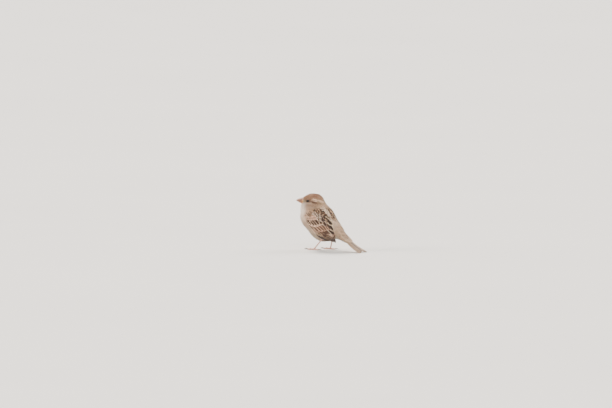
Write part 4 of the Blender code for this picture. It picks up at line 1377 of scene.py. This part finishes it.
def makeClaws(side, material):
    # Each claw arches forward and down from the end of its toe.
    foot, sides = footPlace(side), 14
    for name, (heading, length, claw) in leg["toes"].items():
        way = toeWay(side, heading)
        share = np.linspace(0, 1, 22)
        lift = 0.98 + 0.85 * np.sin(np.pi * share * 0.9) - 0.66 * share
        path = foot + way * (length - 0.2 + (claw + 0.4) * share)[:, None] + upWay * lift[:, None]
        mesh = tubeMesh(path, 0.58 * (1 - share) ** 0.8 + 0.09, sides,
                        lambda angle, place: 0.80 + 0.22 * np.abs(np.sin(angle)))
        setPoints(mesh, placed(pointsOf(mesh)))
        setAttributes(mesh, "FLOAT", dict(along=np.repeat(share, sides)))
        mesh.shade_smooth()
        node = f"claw_{side}_{name}"
        finishPiece(linked(f"claw{side.capitalize()}{name.capitalize()}", mesh), material, node, node)


def clawMaterial():
    # Claw horn: dark, half-gloss keratin, darkest at the tip.
    material, add = newMaterial("clawHorn")
    along = add("ShaderNodeAttribute", attribute_name="along").outputs["Fac"]
    place = add("ShaderNodeTexCoord").outputs["Object"]
    noise = add("ShaderNodeTexNoise", {"Vector": place, "Scale": 3000.0, "Detail": 3.0})
    colour = add("ShaderNodeMix", {0: noise, 6: linear("#3c2c26"), 7: linear("#5b463c")}, data_type="RGBA")
    colour = add("ShaderNodeMix", {0: along, 6: colour, 7: linear("#2a201d")}, data_type="RGBA")
    return shaded(material, {"Base Color": colour, "Roughness": 0.35, "IOR": 1.54})


# Floor, light and camera

# The camera's way and lens, millimetres to a point of the frame, the frame's width in points, and the eye's
# place from its middle. Then the strength of the sky and the lights, and the floor in metres.
studio = dict(azimuth=125.0, elevation=6.0, lens=300.0, perPoint=1.45, frameWidth=612, eyeRight=2.0,
              eyeUp=3.1, sky=0.50, main=6.4, rim=4.8, back=3.0, fill=1.9, dish=20.0, flat=1.5,
              rimHeight=2.8)


def makeFloor():
    # The floor is a shallow dish, flat round the bird, whose far rim hides the horizon.
    dish, flat, sides = studio["dish"], studio["flat"], 96
    reach = dish * np.linspace(0, 1, 41)[1:, None]
    height = studio["rimHeight"] * np.clip((reach - flat) / (dish - flat), 0, 1) ** 2
    turn = 2 * np.pi * np.arange(sides) / sides
    rings = np.stack([reach * np.cos(turn), reach * np.sin(turn), height + 0 * turn], axis=-1)
    mesh = meshOf("floor", rings.reshape(-1, 3), [range(sides), *ringFaces(len(reach), sides)])
    mesh.shade_smooth()
    # Matt paper, faintly uneven
    material, add = newMaterial("paleStudioPaper")
    place = add("ShaderNodeTexCoord").outputs["Object"]
    noise = add("ShaderNodeTexNoise", {"Vector": place, "Scale": 3.0, "Detail": 2.0})
    colour = add("ShaderNodeMix", {0: noise, 6: linear("#d9d8d6"), 7: linear("#dfdedc")}, data_type="RGBA")
    mesh.materials.append(shaded(material, {"Base Color": colour, "Roughness": 0.9}))
    linked("floor", mesh)


def makeStage():
    makeFloor()
    scene = bpy.context.scene
    scene.world = bpy.data.worlds.new("studio")
    scene.world.use_nodes = True
    nodes = scene.world.node_tree
    fill(nodes, nodes.nodes["Background"], (linear("#f1f0ee"), studio["sky"]))
    azimuth, elevation = math.radians(studio["azimuth"]), math.radians(studio["elevation"])
    towards = Vector((math.sin(azimuth) * math.cos(elevation), -math.cos(azimuth) * math.cos(elevation),
                      math.sin(elevation)))
    right = Vector((math.cos(azimuth), math.sin(azimuth), 0))
    rise = towards.cross(right)
    step = studio["perPoint"] * mm
    eye = Vector((eyeBox[0] + eyeBox[1]) / 2)
    aim = eye - right * studio["eyeRight"] * step - rise * studio["eyeUp"] * step
    camera = linked("camera", bpy.data.cameras.new("camera"))
    camera.data.lens = studio["lens"]
    camera.data.clip_start, camera.data.clip_end = 0.1, 200
    distance = step * studio["frameWidth"] * studio["lens"] / camera.data.sensor_width
    camera.location = aim + towards * distance
    camera.rotation_euler = Matrix((right, rise, towards)).transposed().to_euler()
    scene.camera = camera
    # Wide lights far off keep the floor even. The main one stands high ahead of the bird.
    for name, way, width, colour in (
            ("main", -right * 0.40 + rise * 1.0 - towards * 0.70, 22.0, "#fff5ea"),
            ("rim", -right * 1.0 + rise * 0.30 + towards * 0.05, 30.0, "#fff4e8"),
            ("back", right * 1.0 + rise * 0.8 - towards * 0.55, 40.0, "#fdf6ee"),
            ("fill", right * 0.35 + rise * 0.55 + towards * 0.9, 50.0, "#fbfaf8")):
        light = linked(name, bpy.data.lights.new(name, "SUN"))
        light.data.energy = studio[name]
        light.data.angle = math.radians(width)
        light.data.color = linear(colour)
        light.rotation_euler = way.to_track_quat("Z", "Y").to_euler()


say("skin")
skinMesh = makeSkin()
dressSkin(skinMesh)
skin = linked("skin", skinMesh)
say(f"skin: {len(skinMesh.polygons)} faces")

feather = featherMaterial()
tree = coatTree()
for name, look in coats.items():
    makeCoat(name, look, skin, tree, feather)
finishPiece(skin, skinMaterial(), "trunk", "head", "neck", "trunk")

makeWing("wingLeft", np.array, 0.0, feather, "wing_left", 19)
makeWing("wingRight", mirroredPoints, wing["farLower"], feather, "wing_right", 29)
makeTail(feather)

upperHorn = hornMaterial("billHornUpper", bill["upperBase"], bill["upperTip"], 0.5)
lowerHorn = hornMaterial("billHornLower", bill["lowerBase"], bill["lowerTip"], 1.0)
makeBillHalf("billUpper", True, upperHorn, "bill_upper")
makeBillHalf("billLower", False, lowerHorn, "bill_lower")
wet = eyeMaterial()
lidSkin = bareSkinMaterial("lidSkin", lids["look"])
for name, sign in (("left", 1), ("right", -1)):
    makeEye(f"eye{name.capitalize()}", sign, wet, f"eye_{name}")
    makeLids(f"lids{name.capitalize()}", sign, lidSkin)
legSkin = bareSkinMaterial("scaledLegSkin", leg["skin"])
clawHorn = clawMaterial()
for side in ("left", "right"):
    makeLeg(side, legSkin)
    makeClaws(side, clawHorn)
say("bill, eyes, legs")
makeStage()
